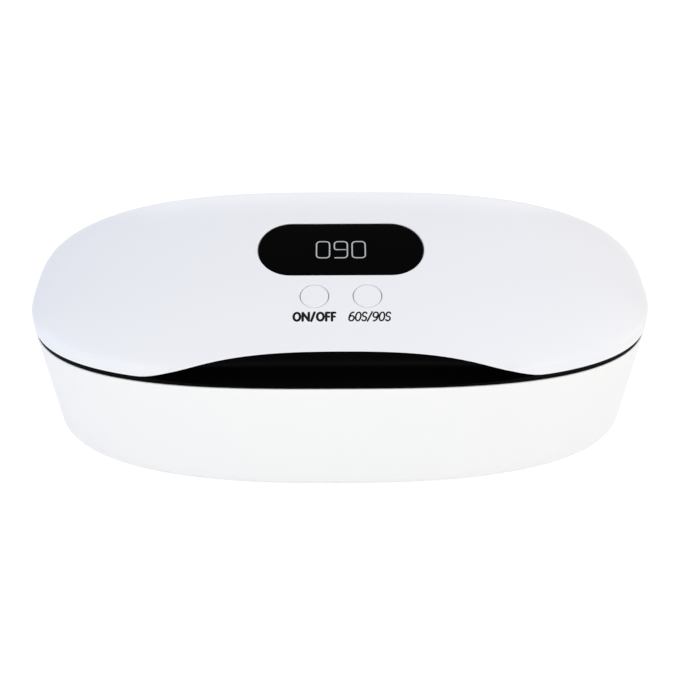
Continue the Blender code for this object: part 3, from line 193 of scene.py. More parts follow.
def oval_directions():
    """The unit oval, with its points closer together where the rim bends."""
    dense = []
    for step in range(DENSE_POINTS + 1):
        angle = step / DENSE_POINTS * QUARTER_TURN
        dense.append([
            math.cos(angle) ** (2 / RIM_SQUARENESS),
            math.sin(angle) ** (2 / RIM_SQUARENESS),
        ])
    dense[-1][0] = 0.0
    lengths, turns = [0.0], [0.0]
    for (x0, y0), (x1, y1) in zip(dense, dense[1:]):
        across, along = (x0 - x1) * HALF_LENGTH, (y1 - y0) * HALF_WIDTH
        lengths.append(lengths[-1] + math.hypot(across, along))
        turns.append(math.atan2(across, along) / QUARTER_TURN)
    first, index = [], 0
    for count in range(QUARTER_POINTS):
        wanted = count / QUARTER_POINTS
        while mix(lengths[index] / lengths[-1], turns[index], BEND_SHARE) < wanted:
            index += 1
        first.append(tuple(dense[index]))
    upper = first + [(0.0, 1.0)] + [(-x, y) for x, y in reversed(first[1:])]
    return upper + [(-x, -y) for x, y in upper]


DIRECTIONS = oval_directions()


def oval(half_length, half_width, squareness=RIM_SQUARENESS):
    """An oval outline as a list of plan points."""
    points = []
    for ux, uy in DIRECTIONS:
        reach = (abs(ux) ** squareness + abs(uy) ** squareness) ** (-1 / squareness)
        points.append((half_length * reach * ux, half_width * reach * uy))
    return points


def tub_ring(height, inset=0.0):
    """The tub's outline at a height over its underside, as points in space."""
    drop = TUB_HEIGHT - height
    draft = drop * SIDE_DRAFT_SHARE
    squareness = mix(RIM_SQUARENESS, FLOOR_SQUARENESS, drop / TUB_HEIGHT)
    half_length = HALF_LENGTH - END_DRAFT_SHARE * draft - inset
    outline = oval(half_length, HALF_WIDTH - draft - inset, squareness)
    return [(x, y, height) for x, y in outline]


def loft(bm, rings, start=None, end=None, closed=False):
    """Skin equal rings. Open ends are capped flat, or with a fan to a point."""
    loops = [[bm.verts.new(point) for point in ring] for ring in rings]
    pairs = list(zip(loops, loops[1:]))
    if closed:
        pairs.append((loops[-1], loops[0]))
    for lower, upper in pairs:
        for i in range(len(lower)):
            bm.faces.new((lower[i - 1], lower[i], upper[i], upper[i - 1]))
    if closed:
        return
    for loop, point in ((loops[0], start), (loops[-1], end)):
        if point is None:
            bm.faces.new(loop)
            continue
        tip = bm.verts.new(point)
        for i in range(len(loop)):
            bm.faces.new((loop[i - 1], loop[i], tip))


def turned(bm, profile, place, sides=ROUND_SIDES, axis="Z"):
    """A round body, turned from a profile of radius and height pairs."""
    rings = []
    for radius, along in profile:
        ring = []
        for step in range(sides):
            angle = FULL_TURN * step / sides
            across, up = radius * math.cos(angle), radius * math.sin(angle)
            if axis == "Z":
                ring.append((place[0] + across, place[1] + up, along))
            else:
                ring.append((along, place[0] + across, place[1] + up))
        rings.append(ring)
    loft(bm, rings)


def add_piece(name, bm, material):
    """Make an object from a mesh that is drawn in the box's own frame."""
    bmesh.ops.remove_doubles(bm, verts=bm.verts, dist=WELD_DISTANCE)
    bmesh.ops.recalc_face_normals(bm, faces=bm.faces)
    mesh = bpy.data.meshes.new(name)
    bm.to_mesh(mesh)
    bm.free()
    mesh.materials.append(material)
    mesh.shade_smooth()
    mesh.set_sharp_from_angle(angle=SMOOTH_ANGLE)
    piece = bpy.data.objects.new(name, mesh)
    bpy.context.scene.collection.objects.link(piece)
    piece.location = BOX_PLACE
    return piece


def settle(piece):
    """Turn a piece's modifiers into mesh."""
    graph = bpy.context.evaluated_depsgraph_get()
    mesh = bpy.data.meshes.new_from_object(piece.evaluated_get(graph))
    piece.modifiers.clear()
    piece.data = mesh
    mesh.shade_smooth()
    mesh.set_sharp_from_angle(angle=SMOOTH_ANGLE)


def carve(piece, bm, operation="DIFFERENCE"):
    """Cut a shape out of a piece, or join it on, with the exact solver."""
    tool = add_piece("tool", bm, piece.data.materials[0])
    modifier = piece.modifiers.new("carve", "BOOLEAN")
    modifier.object = tool
    modifier.operation = operation
    modifier.solver = "EXACT"
    settle(piece)
    bpy.data.objects.remove(tool, do_unlink=True)


def fit_out(piece, body, nodes=()):
    """Hang a piece on its body, and let it stand for its CAD nodes."""
    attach(piece, body)
    if nodes:
        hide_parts(*nodes)


def pill(length, width, end, steps, middle=(0.0, 0.0)):
    """A flat outline with straight sides and rounded ends."""
    points = []
    for side in (1, -1):
        for step in range(steps + 1):
            angle = side * QUARTER_TURN - math.pi * step / steps
            x = side * (length / 2 - end) + end * math.cos(angle)
            points.append((middle[0] + x, middle[1] + width / 2 * math.sin(angle)))
    return points


def inlet_rings(grow, stations):
    """The inlet's rounded outline at several places along Y."""
    rings = []
    for inset, y in stations:
        size = grow - inset
        thickness = INLET_THICKNESS + 2 * size
        flat = pill(INLET_WIDTH + 2 * size, thickness, thickness / 2, INLET_END_STEPS)
        rings.append([(x, y, INLET_HEIGHT + z) for x, z in flat])
    return rings


def hinge_eye(bm, start, length, root, high, low):
    """A knuckle round the pin that runs into the wall between two heights."""
    near = CORNER_SHARE * KNUCKLE_ROUNDING
    rings = []
    for inset, x in (
        (KNUCKLE_ROUNDING, start),
        (near, start + near),
        (0.0, start + KNUCKLE_ROUNDING),
        (0.0, start + length - KNUCKLE_ROUNDING),
        (near, start + length - near),
        (KNUCKLE_ROUNDING, start + length),
    ):
        radius = HINGE_RADIUS - inset
        top, bottom = high - inset, low + inset
        ends = []
        for z, side in ((top, -1), (bottom, 1)):
            toward = math.atan2(z - HINGE_Z, root - HINGE_Y) % FULL_TURN
            reach = math.hypot(z - HINGE_Z, root - HINGE_Y)
            ends.append(toward + side * math.acos(radius / reach))
        first, last = ends[0], ends[1] - FULL_TURN
        ring = [(x, root, top)]
        for step in range(KNUCKLE_STEPS + 1):
            angle = mix(first, last, step / KNUCKLE_STEPS)
            y = HINGE_Y + radius * math.cos(angle)
            ring.append((x, y, HINGE_Z + radius * math.sin(angle)))
        ring.append((x, root, bottom))
        rings.append(ring)
    loft(bm, rings)


def tub_back(height):
    """How far back the tub's outer face lies, mid rear at a height."""
    return HALF_WIDTH - (TUB_HEIGHT - height) * SIDE_DRAFT_SHARE


def edge_rings(bottom, radius, steps, inset):
    """Rings up a rounded lower edge, from its flat floor to its wall."""
    return [tub_ring(bottom + rise, inset + inward) for inward, rise in bend(radius, steps)]


def tub_shell():
    """The tub's skin: floor, lower edge, wall and rounded rim, inside and out."""
    rim = TUB_HEIGHT - RIM_GAP
    outer = edge_rings(0.0, TUB_EDGE_RADIUS, TUB_EDGE_STEPS, 0.0)
    for step in range(1, TUB_WALL_STEPS):
        height = mix(TUB_EDGE_RADIUS, rim - RIM_ROUNDING, step / TUB_WALL_STEPS)
        outer.append(tub_ring(height))
    for drop, inset in bend(RIM_ROUNDING, RIM_STEPS):
        outer.append(tub_ring(rim - drop, inset))
    inner = edge_rings(TUB_WALL, TUB_EDGE_RADIUS - TUB_WALL, RIM_STEPS, TUB_WALL)
    inner.append(tub_ring(rim, TUB_WALL))
    bm = bmesh.new()
    loft(bm, outer + inner[::-1])
    return bm


def make_tub(material):
    """The tub with its posts and hinge eyes joined and its openings cut."""
    tub = add_piece("tub_moulding", tub_shell(), material)
    bm = bmesh.new()
    sunk = TUB_WALL / 2
    for place in FOOT_PLACES:
        turned(bm, ((POST_RADIUS, sunk), (POST_RADIUS, POST_HEIGHT)), place)
    profile = ((INLET_POST_RADIUS, sunk), (INLET_POST_RADIUS, INLET_POST_HEIGHT))
    for place in INLET_POST_PLACES:
        turned(bm, profile, place)
    carve(tub, bm, "UNION")
    bm = bmesh.new()
    for side in (-1, 1):
        half = LID_KNUCKLE / 2 + SLIDE_GAP
        for start in (side * HINGE_X - half - TUB_KNUCKLE, side * HINGE_X + half):
            hinge_eye(bm, start, TUB_KNUCKLE, TUB_ROOT_Y, TUB_ROOT_HIGH, TUB_ROOT_LOW)
    carve(tub, bm, "UNION")
    bm = bmesh.new()
    reach = HINGE_X + LID_KNUCKLE + TUB_KNUCKLE + CUT_OVERRUN
    turned(bm, ((PIN_BORE, -reach), (PIN_BORE, reach)), (HINGE_Y, HINGE_Z), axis="X")
    recess = FOOT_RADIUS + SLIDE_GAP
    lip = RIM_ROUNDING
    near = CORNER_SHARE * lip
    profile = (
        (recess + lip, -CUT_OVERRUN),
        (recess + lip, 0.0),
        (recess + near, near),
        (recess, lip),
        (recess, FOOT_RECESS),
        (SCREW_POCKET_RADIUS, FOOT_RECESS),
        (SCREW_POCKET_RADIUS, SCREW_POCKET_ROOF),
        (POST_BORE, SCREW_POCKET_ROOF),
        (POST_BORE, POST_HEIGHT + CUT_OVERRUN),
    )
    for place in FOOT_PLACES:
        turned(bm, profile, place)
    back = tub_back(INLET_HEIGHT)
    loft(bm, inlet_rings(SLIDE_GAP, (
        (0.0, back - TUB_WALL - CUT_OVERRUN),
        (0.0, back - lip),
        (-near, back - near),
        (-lip, back + near),
        (-lip, back + CUT_OVERRUN),
    )))
    carve(tub, bm)
    return tub


# ABS from a finely stoned mould: a satin white that spreads its highlights. Its
# orange peel, 9 mm wide and 0.012 mm deep, is coarser than real, so that it shows.
ABS_IOR = 1.54
WHITE_ABS = surface(
    "white_abs", ("#E6E6E9", "#E2E3E7"),
    tone_size=80.0 * MM, ripple_size=9.0 * MM, ripple_depth=0.012 * MM,
    roughness=(0.3, 0.4), fixed={"IOR": ABS_IOR},
)
fit_out(make_tub(WHITE_ABS), "base", ["base_shell"])

# Power inlet. A drawn steel socket stands on its own small board behind the
# opening low in the tub's back. Its tongue is black nylon with gold contacts.
INLET_DEPTH = 8.2 * MM
INLET_WALL = 0.3 * MM
INLET_CAVITY = 6.4 * MM
INLET_SINK = 0.5 * MM
INLET_BEND_SHARE = 0.4
TONGUE_WIDTH = 6.6 * MM
TONGUE_THICKNESS = 0.7 * MM
TONGUE_LENGTH = 5.0 * MM
TONGUE_ROUNDING = 0.2 * MM
EDGE_STEPS = 3
CONTACT_COUNT = 8
CONTACT_PITCH = 0.75 * MM
CONTACT_WIDTH = 0.4 * MM
CONTACT_LENGTH = 3.6 * MM
CONTACT_THICKNESS = 0.05 * MM
CONTACT_INSET = 0.4 * MM


def add_block(bm, low, high):
    """A block between two corners."""
    low, high = Vector(low), Vector(high)
    size = Matrix.Diagonal((*(high - low), 1.0))
    bmesh.ops.create_cube(bm, size=1.0, matrix=Matrix.Translation((low + high) / 2) @ size)


def round_edges(piece, radius):
    """Round a piece's sharp edges, and let its flat faces lead the shading."""
    bevel = piece.modifiers.new("rounding", "BEVEL")
    bevel.width = radius
    bevel.segments = EDGE_STEPS
    bevel.limit_method = "ANGLE"
    bevel.angle_limit = SMOOTH_ANGLE
    bevel.use_clamp_overlap = True
    piece.modifiers.new("shading", "WEIGHTED_NORMAL")
    settle(piece)


def make_inlet():
    """The socket's shell, its tongue and the contacts on both sides of it."""
    rear = tub_back(INLET_HEIGHT) - INLET_SINK
    floor = rear - INLET_CAVITY
    wall = INLET_WALL
    lip = INLET_BEND_SHARE * wall
    bm = bmesh.new()
    loft(bm, inlet_rings(0.0, (
        (wall / 2, rear - INLET_DEPTH),
        (0.0, rear - INLET_DEPTH + wall),
        (0.0, rear - lip),
        (lip, rear),
        (2 * lip, rear - lip),
        (wall, rear - wall),
        (wall, floor),
    )))
    shell = add_piece("inlet_shell", bm, STEEL)
    fit_out(shell, "base", ["inlet_socket"])
    bm = bmesh.new()
    half_width, half_height = TONGUE_WIDTH / 2, TONGUE_THICKNESS / 2
    tip = floor + TONGUE_LENGTH
    add_block(
        bm,
        (-half_width, floor + WELD_DISTANCE, INLET_HEIGHT - half_height),
        (half_width, tip, INLET_HEIGHT + half_height),
    )
    tongue = add_piece("inlet_tongue", bm, BLACK_NYLON)
    round_edges(tongue, TONGUE_ROUNDING)
    fit_out(tongue, "base")
    bm = bmesh.new()
    end = tip - CONTACT_INSET
    for number in range(CONTACT_COUNT):
        x = (number - (CONTACT_COUNT - 1) / 2) * CONTACT_PITCH
        for side in (-1, 1):
            near = INLET_HEIGHT + side * half_height
            far = near + side * CONTACT_THICKNESS
            add_block(
                bm,
                (x - CONTACT_WIDTH / 2, end - CONTACT_LENGTH, min(near, far)),
                (x + CONTACT_WIDTH / 2, end, max(near, far)),
            )
    fit_out(add_piece("inlet_contacts", bm, GOLD), "base")


# Zinc-plated steel: a grey shine, a little uneven where the plating is thicker.
STEEL = surface(
    "zinc_plated_steel", ("#C3C4C6", "#AEB0B3"),
    tone_size=6.0 * MM, ripple_size=1.2 * MM, ripple_depth=0.004 * MM,
    roughness=(0.22, 0.34), fixed={"Metallic": 1.0},
)
# Nylon, moulded: black and nearly matt.
BLACK_NYLON = surface(
    "black_nylon", ("#141415", "#1C1C1E"),
    tone_size=5.0 * MM, ripple_size=0.6 * MM, ripple_depth=0.006 * MM,
    roughness=(0.42, 0.55), fixed={"IOR": 1.53},
)
# Gold flash over nickel on the contacts: warm and smooth.
GOLD = surface(
    "gold_flash", ("#E9C46A", "#DDB255"),
    tone_size=2.0 * MM, ripple_size=0.5 * MM, ripple_depth=0.001 * MM,
    roughness=(0.15, 0.22), fixed={"Metallic": 1.0},
)
# Glass-fibre board under green solder mask, glossy over the tracks' slight relief.
GREEN_BOARD = surface(
    "green_solder_mask", ("#1E6B3A", "#15552D"),
    tone_size=3.0 * MM, ripple_size=0.9 * MM, ripple_depth=0.02 * MM,
    roughness=(0.25, 0.4), fixed={"IOR": 1.5, "Coat Weight": 0.3, "Coat Roughness": 0.15},
)
make_inlet()
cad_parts["inlet_board"].data.materials[0] = GREEN_BOARD

# Chamber tray. A moulded ABS tray, vacuum plated bright so that it throws the
# lamps' light back. It stands on the tub's four posts by posts of its own, which
# take the screws that come up through the tub, and its flange reaches the wall.
TRAY_INSET = 8.7 * MM
TRAY_WALL = 1.2 * MM
TRAY_FLOOR = 14.0 * MM
TRAY_EDGE_RADIUS = 8.0 * MM
TRAY_EDGE_STEPS = 12
TRAY_TOP = 52.1 * MM
TRAY_FLANGE = 1.0 * MM
TRAY_FLANGE_INSET = 2.5 * MM
TRAY_POST_RADIUS = 3.6 * MM
TRAY_WALL_STEPS = 6
SEAT_GAP = 0.3 * MM

# Vacuum-plated ABS: bright as a mirror, slightly wavy over the moulding below.
BRIGHT_PLATING = surface(
    "bright_plating", ("#D9DBDE", "#CDD0D4"),
    tone_size=40.0 * MM, ripple_size=14.0 * MM, ripple_depth=0.05 * MM,
    roughness=(0.16, 0.26), fixed={"Metallic": 1.0},
)


def make_tray():
    """The tray's inner and outer skin with its flange, and its posts."""
    under = TRAY_TOP - TRAY_FLANGE
    outer = edge_rings(TRAY_FLOOR, TRAY_EDGE_RADIUS, TRAY_EDGE_STEPS, TRAY_INSET)
    outer += [tub_ring(under, TRAY_INSET), tub_ring(under, TRAY_FLANGE_INSET)]
    inset = TRAY_INSET + TRAY_WALL
    inner = edge_rings(
        TRAY_FLOOR + TRAY_WALL, TRAY_EDGE_RADIUS - TRAY_WALL, TRAY_EDGE_STEPS, inset
    )
    base = TRAY_FLOOR + TRAY_EDGE_RADIUS
    for step in range(1, TRAY_WALL_STEPS):
        height = mix(base, TRAY_TOP - RIM_ROUNDING, step / TRAY_WALL_STEPS)
        inner.append(tub_ring(height, inset))
    for drop, outward in bend(RIM_ROUNDING, RIM_STEPS):
        inner.append(tub_ring(TRAY_TOP - drop, inset - outward))
    inner.append(tub_ring(TRAY_TOP, TRAY_FLANGE_INSET))
    bm = bmesh.new()
    loft(bm, outer + inner[::-1])
    tray = add_piece("tray_moulding", bm, BRIGHT_PLATING)
    bm = bmesh.new()
    low = POST_HEIGHT + SEAT_GAP
    sunk = TRAY_FLOOR + TRAY_WALL / 2
    for place in FOOT_PLACES:
        turned(bm, ((TRAY_POST_RADIUS, low), (TRAY_POST_RADIUS, sunk)), place)
    carve(tray, bm, "UNION")
    bm = bmesh.new()
    for place in FOOT_PLACES:
        turned(bm, ((POST_BORE, low - CUT_OVERRUN), (POST_BORE, TRAY_FLOOR)), place)
    carve(tray, bm)
    fit_out(tray, "base", ["chamber_tray"])


make_tray()

# Tub screws and feet. Four self-tapping screws hold tub and tray together, and
# a push-in rubber foot covers each. The foot's edge is rounded, and its face
# has a shallow dish so that it grips.
FOOT_PROUD = 1.1 * MM
FOOT_TOP = 1.1 * MM
FOOT_ROUNDING = 0.6 * MM
FOOT_DISH_RADIUS = 4.0 * MM
FOOT_DISH_FLOOR = 3.6 * MM
FOOT_DISH_DEPTH = 0.3 * MM
FOOT_ROUND_STEPS = 5

# Thermoplastic rubber: soft grey, quite matt, with an eroded grain. It is drawn
# 0.7 mm wide, coarser than real, so that it shows.
GREY_RUBBER = surface(
    "grey_rubber", ("#6E6F71", "#646567"),
    tone_size=4.0 * MM, ripple_size=0.7 * MM, ripple_depth=0.02 * MM,
    roughness=(0.75, 0.9), fixed={"IOR": 1.45},
)


def make_foot(name, node, place):
    """One foot, turned from its face up to its seat."""
    profile = [(FOOT_DISH_FLOOR, FOOT_DISH_DEPTH), (FOOT_DISH_RADIUS, 0.0)]
    for inward, rise in bend(FOOT_ROUNDING, FOOT_ROUND_STEPS):
        profile.append((FOOT_RADIUS - inward, rise))
    profile.append((FOOT_RADIUS, FOOT_PROUD + FOOT_TOP))
    bm = bmesh.new()
    turned(bm, [(radius, along - FOOT_PROUD) for radius, along in profile], place)
    fit_out(add_piece(name, bm, GREY_RUBBER), "base", [node])


for number, foot_place in enumerate(FOOT_PLACES, 1):
    make_foot("foot_moulding_%d" % number, "foot_%d" % number, foot_place)
    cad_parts["base_screw_%d" % number].data.materials[0] = STEEL

# Collar. A black ABS ring is pressed into the tub's rim. It shows as the dark
# seam all round, sinks into the finger recess at the front, and its inner wall
# and ledge shut in the light. The safety magnet sits in a pocket under it.
ARCH_HALF_WIDTH = 68.0 * MM
ARCH_BLEND = 6.0 * MM
ARCH_BLEND_STEPS = 9
ARCH_SQUARENESS = 2.7
COLLAR_SKIRT = 1.6 * MM
MAGNET_PLACE = (30.0 * MM, -41.54 * MM)
POCKET_RADIUS = 3.25 * MM
POCKET_ROOF = 54.7 * MM
BEND_POINTS = 6
BEND_LIMIT = 0.45
# Corners of the ring's section: inset from the rim and height over the tub, the
# same two at mid front, and the corner's rounding.
COLLAR_SECTION = [
    [value * MM for value in point]
    for point in (
        (0.3, 0.0, 0.3, 0.0, 0.0),
        (0.3, 2.3, 0.3, 0.7, 0.3),
        (2.2, 2.3, 9.0, 1.1, 5.0),
        (2.5, 2.3, 11.8, 2.6, 2.6),
        (2.5, 5.0, 13.2, 11.0, 0.4),
        (4.1, 5.0, 14.8, 11.0, 0.4),
        (4.1, 3.4, 14.8, 3.4, 0.0),
        (6.9, 3.4, 17.6, 3.4, 0.3),
        (6.9, -1.6, 17.6, -1.6, 0.3),
        (2.5, -1.6, 2.5, -1.6, 0.0),
        (2.5, 0.0, 2.5, 0.0, 0.0),
    )
]

# Black ABS from an eroded mould: deep black, satin, with a fine even grain.
# The 0.5 mm grain is about twice the real one, so that it shows.
BLACK_ABS = surface(
    "black_abs", ("#030304", "#020202"),
    tone_size=30.0 * MM, ripple_size=0.5 * MM, ripple_depth=0.006 * MM,
    roughness=(0.38, 0.5), fixed={"IOR": ABS_IOR, "Specular IOR Level": 0.02},
)
# Nickel over a sintered magnet: a warm grey shine.
NICKEL = surface(
    "nickel_plating", ("#C9C6C0", "#BDB9B2"),
    tone_size=3.0 * MM, ripple_size=1.0 * MM, ripple_depth=0.002 * MM,
    roughness=(0.2, 0.3), fixed={"Metallic": 1.0},
)


def arch_share(x):
    """How far the front arch has risen at a distance from the middle."""
    total = 0.0
    for step in range(ARCH_BLEND_STEPS):
        offset = ARCH_BLEND * (2 * step / (ARCH_BLEND_STEPS - 1) - 1)
        reach = min(abs(x + offset) / ARCH_HALF_WIDTH, 1.0)
        total += math.sqrt(1 - reach**ARCH_SQUARENESS)
    return total / ARCH_BLEND_STEPS


def collar_ring(inset, height, front_inset, front_height):
    """A ring round the rim, which moves in and up towards mid front."""
    ring = []
    for x, y in oval(HALF_LENGTH - inset, HALF_WIDTH - inset):
        share = arch_share(x) if y < 0 else 0.0
        depth = (front_inset - inset) * share
        ring.append((x, y + depth, TUB_HEIGHT + mix(height, front_height, share)))
    return ring


def soften(section):
    """Round a section's corners, each by the radius that ends its row."""
    softened = []
    for number, (*corner, radius) in enumerate(section):
        if radius == 0:
            softened.append(corner)
            continue
        ends = []
        for other in (section[number - 1][:4], section[(number + 1) % len(section)][:4]):
            runs = (math.dist(corner[:2], other[:2]), math.dist(corner[2:], other[2:]))
            share = min(BEND_LIMIT, radius / max(runs))
            ends.append([mix(a, b, share) for a, b in zip(corner, other)])
        for step in range(BEND_POINTS + 1):
            share = step / BEND_POINTS
            softened.append([
                mix(mix(a, b, share), mix(b, c, share), share)
                for a, b, c in zip(ends[0], corner, ends[1])
            ])
    return softened


def make_ring(name, section, material):
    """A closed ring round the rim, lofted from a softened section."""
    bm = bmesh.new()
    loft(bm, [collar_ring(*point) for point in soften(section)], closed=True)
    return add_piece(name, bm, material)


def make_collar():
    """The collar, with the magnet's pocket cut into it from below."""
    collar = make_ring("collar_moulding", COLLAR_SECTION, BLACK_ABS)
    bm = bmesh.new()
    low = TUB_HEIGHT - COLLAR_SKIRT - CUT_OVERRUN
    turned(bm, ((POCKET_RADIUS, low), (POCKET_RADIUS, POCKET_ROOF)), MAGNET_PLACE)
    carve(collar, bm)
    fit_out(collar, "base", ["rim_collar"])


make_collar()
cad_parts["safety_magnet"].data.materials[0] = NICKEL

# Light seal. A bulb of soft black silicone stands on the collar's ledge and
# meets the lid panel, so that no ultraviolet light leaks out of the chamber.
SEAL_SECTION = [
    [value * MM for value in point]
    for point in (
        (4.5, 3.7, 15.2, 3.7, 0.2),
        (4.5, 6.3, 15.2, 6.3, 0.95),
        (6.5, 6.3, 17.2, 6.3, 0.95),
        (6.5, 3.7, 17.2, 3.7, 0.2),
    )
]

# Silicone rubber, moulded: black and matt, with a soft bloom.
BLACK_SILICONE = surface(
    "black_silicone", ("#1B1B1C", "#222223"),
    tone_size=8.0 * MM, ripple_size=0.8 * MM, ripple_depth=0.01 * MM,
    roughness=(0.6, 0.75), fixed={"IOR": 1.43, "Sheen Weight": 0.15, "Sheen Roughness": 0.5},
)
seal = make_ring("seal_moulding", SEAL_SECTION, BLACK_SILICONE)
fit_out(seal, "base", ["light_seal"])

# Hinge pins. A drawn steel pin with rounded ends runs through the three
# knuckles of each hinge.
PIN_RADIUS = 1.0 * MM
PIN_HALF_LENGTH = 9.95 * MM
PIN_ROUNDING = 0.35 * MM


def make_pin(name, node, middle):
    """One pin with its rounded ends."""
    near = CORNER_SHARE * PIN_ROUNDING
    profile = []
    for side in (-1, 1):
        end = middle + side * PIN_HALF_LENGTH
        corner = [
            (PIN_RADIUS - PIN_ROUNDING, end),
            (PIN_RADIUS - near, end - side * near),
            (PIN_RADIUS, end - side * PIN_ROUNDING),
        ]
        profile += corner[::-side]
    bm = bmesh.new()
    turned(bm, profile, (HINGE_Y, HINGE_Z), axis="X")
    fit_out(add_piece(name, bm, STEEL), "base", [node])


make_pin("pin_rod_left", "hinge_pin_left", -HINGE_X)
make_pin("pin_rod_right", "hinge_pin_right", HINGE_X)

# Lid dome. One moulding in white satin ABS, all but flush with the tub's rim and
# arched over the finger recess. Its colour is drawn a little darker and cooler
# than the tub's, as painted shade. Hinge knuckles stand at its back, and it has
# openings for the display and the buttons and bosses for the panel's screws.
LID_OVERHANG = 0.2 * MM
LID_WALL = 2.0 * MM
LID_HALF_LENGTH = HALF_LENGTH + LID_OVERHANG
LID_HALF_WIDTH = HALF_WIDTH + LID_OVERHANG
BAND_HEIGHT = 2.6 * MM
LID_EDGE_HEIGHT = 4.7 * MM
LID_SKIRT = TUB_HEIGHT + BAND_HEIGHT
LID_SHOULDER = LID_SKIRT + LID_EDGE_HEIGHT
# The dome's rise at its middle, what it gains with y towards the back, and the
# two powers that shape its section.
DOME_RISE = 15.7 * MM
DOME_LEAN_SHARE = 0.1775
DOME_SQUARENESS = 2.7
DOME_ROUNDING = 0.5714
# A little under the 8.7 mm of the solids: rounding the lip lifts the edge that
# shows.
ARCH_RISE = 8.45 * MM
LIP_RADIUS = 0.2 * MM
LIP_STEPS = 8
OUTER_RINGS = 44
INNER_RINGS = 24
# A power over 1 gathers the rings towards the lower edge.
RING_GATHER = 1.25
EDGE_SEARCH = (-1.0, 0.9)
EDGE_SEARCH_STEPS = 30
LEAN_STEP = 0.002
LID_ROOT_Y = 53.4 * MM
LID_ROOT_HIGH = 61.1 * MM
LID_ROOT_LOW = 57.9 * MM
# The dome's slope is measured this far each way, and what is nearer lies on it.
PROBE = 0.02 * MM
DISPLAY_MIDDLE = (0.4 * MM, 1.9 * MM)
DISPLAY_LENGTH = 64.5 * MM
DISPLAY_WIDTH = 28.0 * MM
DISPLAY_END = 12.9 * MM
DISPLAY_END_STEPS = 28
DISPLAY_LEDGE = 3.0 * MM
DISPLAY_RECESS = 1.8 * MM
DISPLAY_LIP = 0.6 * MM
BUTTON_PLACES = {"power": (-9.7 * MM, -22.5 * MM), "timer": (10.3 * MM, -22.5 * MM)}
BUTTON_RADIUS = 5.3 * MM
BUTTON_LIP = 0.45 * MM
BUTTON_SIDES = 64
DISPLAY_FRAME = 2.5 * MM
DISPLAY_FRAME_DEPTH = 3.6 * MM
# Rings across a plug's two faces, as shares of its outline.
SLICE_SHARES = (0.9, 0.75, 0.55, 0.3)
# Within these distances of the middle, faces within this angle of the dome are
# shaded as the dome.
TRUE_ZONE = (64.5 * MM, 36.4 * MM)
TRUE_ANGLE = SMOOTH_ANGLE / 3
SCREW_PLACES = [
    (side * x * MM, y * MM)
    for side in (-1, 1)
    for x, y in ((99.0, 8.0), (56.0, 38.0), (55.0, -30.0))
]
BOSS_RADIUS = 3.0 * MM
BOSS_BORE = 1.2 * MM
BOSS_LOW = 62.1 * MM
BOSS_BORE_HIGH = 67.3 * MM

# The same satin ABS, with the same ripple as on the tub. Its tone is a little
# darker and cooler than the tub's: painted shade, for the dimmer and bluer light
# that falls on the lid's top.
SHADED_WHITE_ABS = surface(
    "shaded_white_abs", ("#E2E3EA", "#DEE0E7"),
    tone_size=90.0 * MM, ripple_size=9.0 * MM, ripple_depth=0.012 * MM,
    roughness=(0.3, 0.4), fixed={"IOR": ABS_IOR},
)


def lid_height(x, y, wall=0.0):
    """Height of the dome's outer face, or of its inner face under a wall."""
    across = (abs(x) / (LID_HALF_LENGTH - wall)) ** RIM_SQUARENESS
    along = (abs(y) / (LID_HALF_WIDTH - wall)) ** RIM_SQUARENESS
    reach = min((across + along) ** (1 / RIM_SQUARENESS), 1.0)
    swell = (1 - reach**DOME_SQUARENESS) ** DOME_ROUNDING
    return LID_SHOULDER + swell * (DOME_RISE + DOME_LEAN_SHARE * y - wall)


def lid_point(direction, travel, wall=0.0):
    """A point on the lid: -1 at its skirt, 0 at its shoulder, 1 mid top."""
    ux, uy = direction
    x, y = (LID_HALF_LENGTH - wall) * ux, (LID_HALF_WIDTH - wall) * uy
    if travel <= 0:
        return Vector((x, y, LID_SHOULDER + travel * LID_EDGE_HEIGHT))
    share = math.cos(travel * QUARTER_TURN) ** (2 / DOME_SQUARENESS)
    return Vector((x * share, y * share, lid_height(x * share, y * share, wall)))


def lid_lean(direction, travel):
    """How far the outer face leans out of the upright, as seen along a column."""
    low = lid_point(direction, travel - LEAN_STEP)
    high = lid_point(direction, travel + LEAN_STEP)
    flat = math.hypot(high.x - low.x, high.y - low.y)
    return math.atan2(flat, high.z - low.z)


def edge_height(x, y):
    """Height of the lid's lower edge, which arches over the finger recess."""
    return LID_SKIRT + (ARCH_RISE * arch_share(x) if y < 0 else 0.0)


def edge_travel(direction, wall, lip):
    """Where a column of the lid starts, so that it stands on the lower edge."""
    low, high = EDGE_SEARCH
    for step in range(EDGE_SEARCH_STEPS):
        middle = (low + high) / 2
        point = lid_point(direction, middle, wall)
        lift = lip * (1 + math.sin(lid_lean(direction, middle))) if lip else 0.0
        if point.z < edge_height(point.x, point.y) + lift:
            low = middle
        else:
            high = middle
    return high


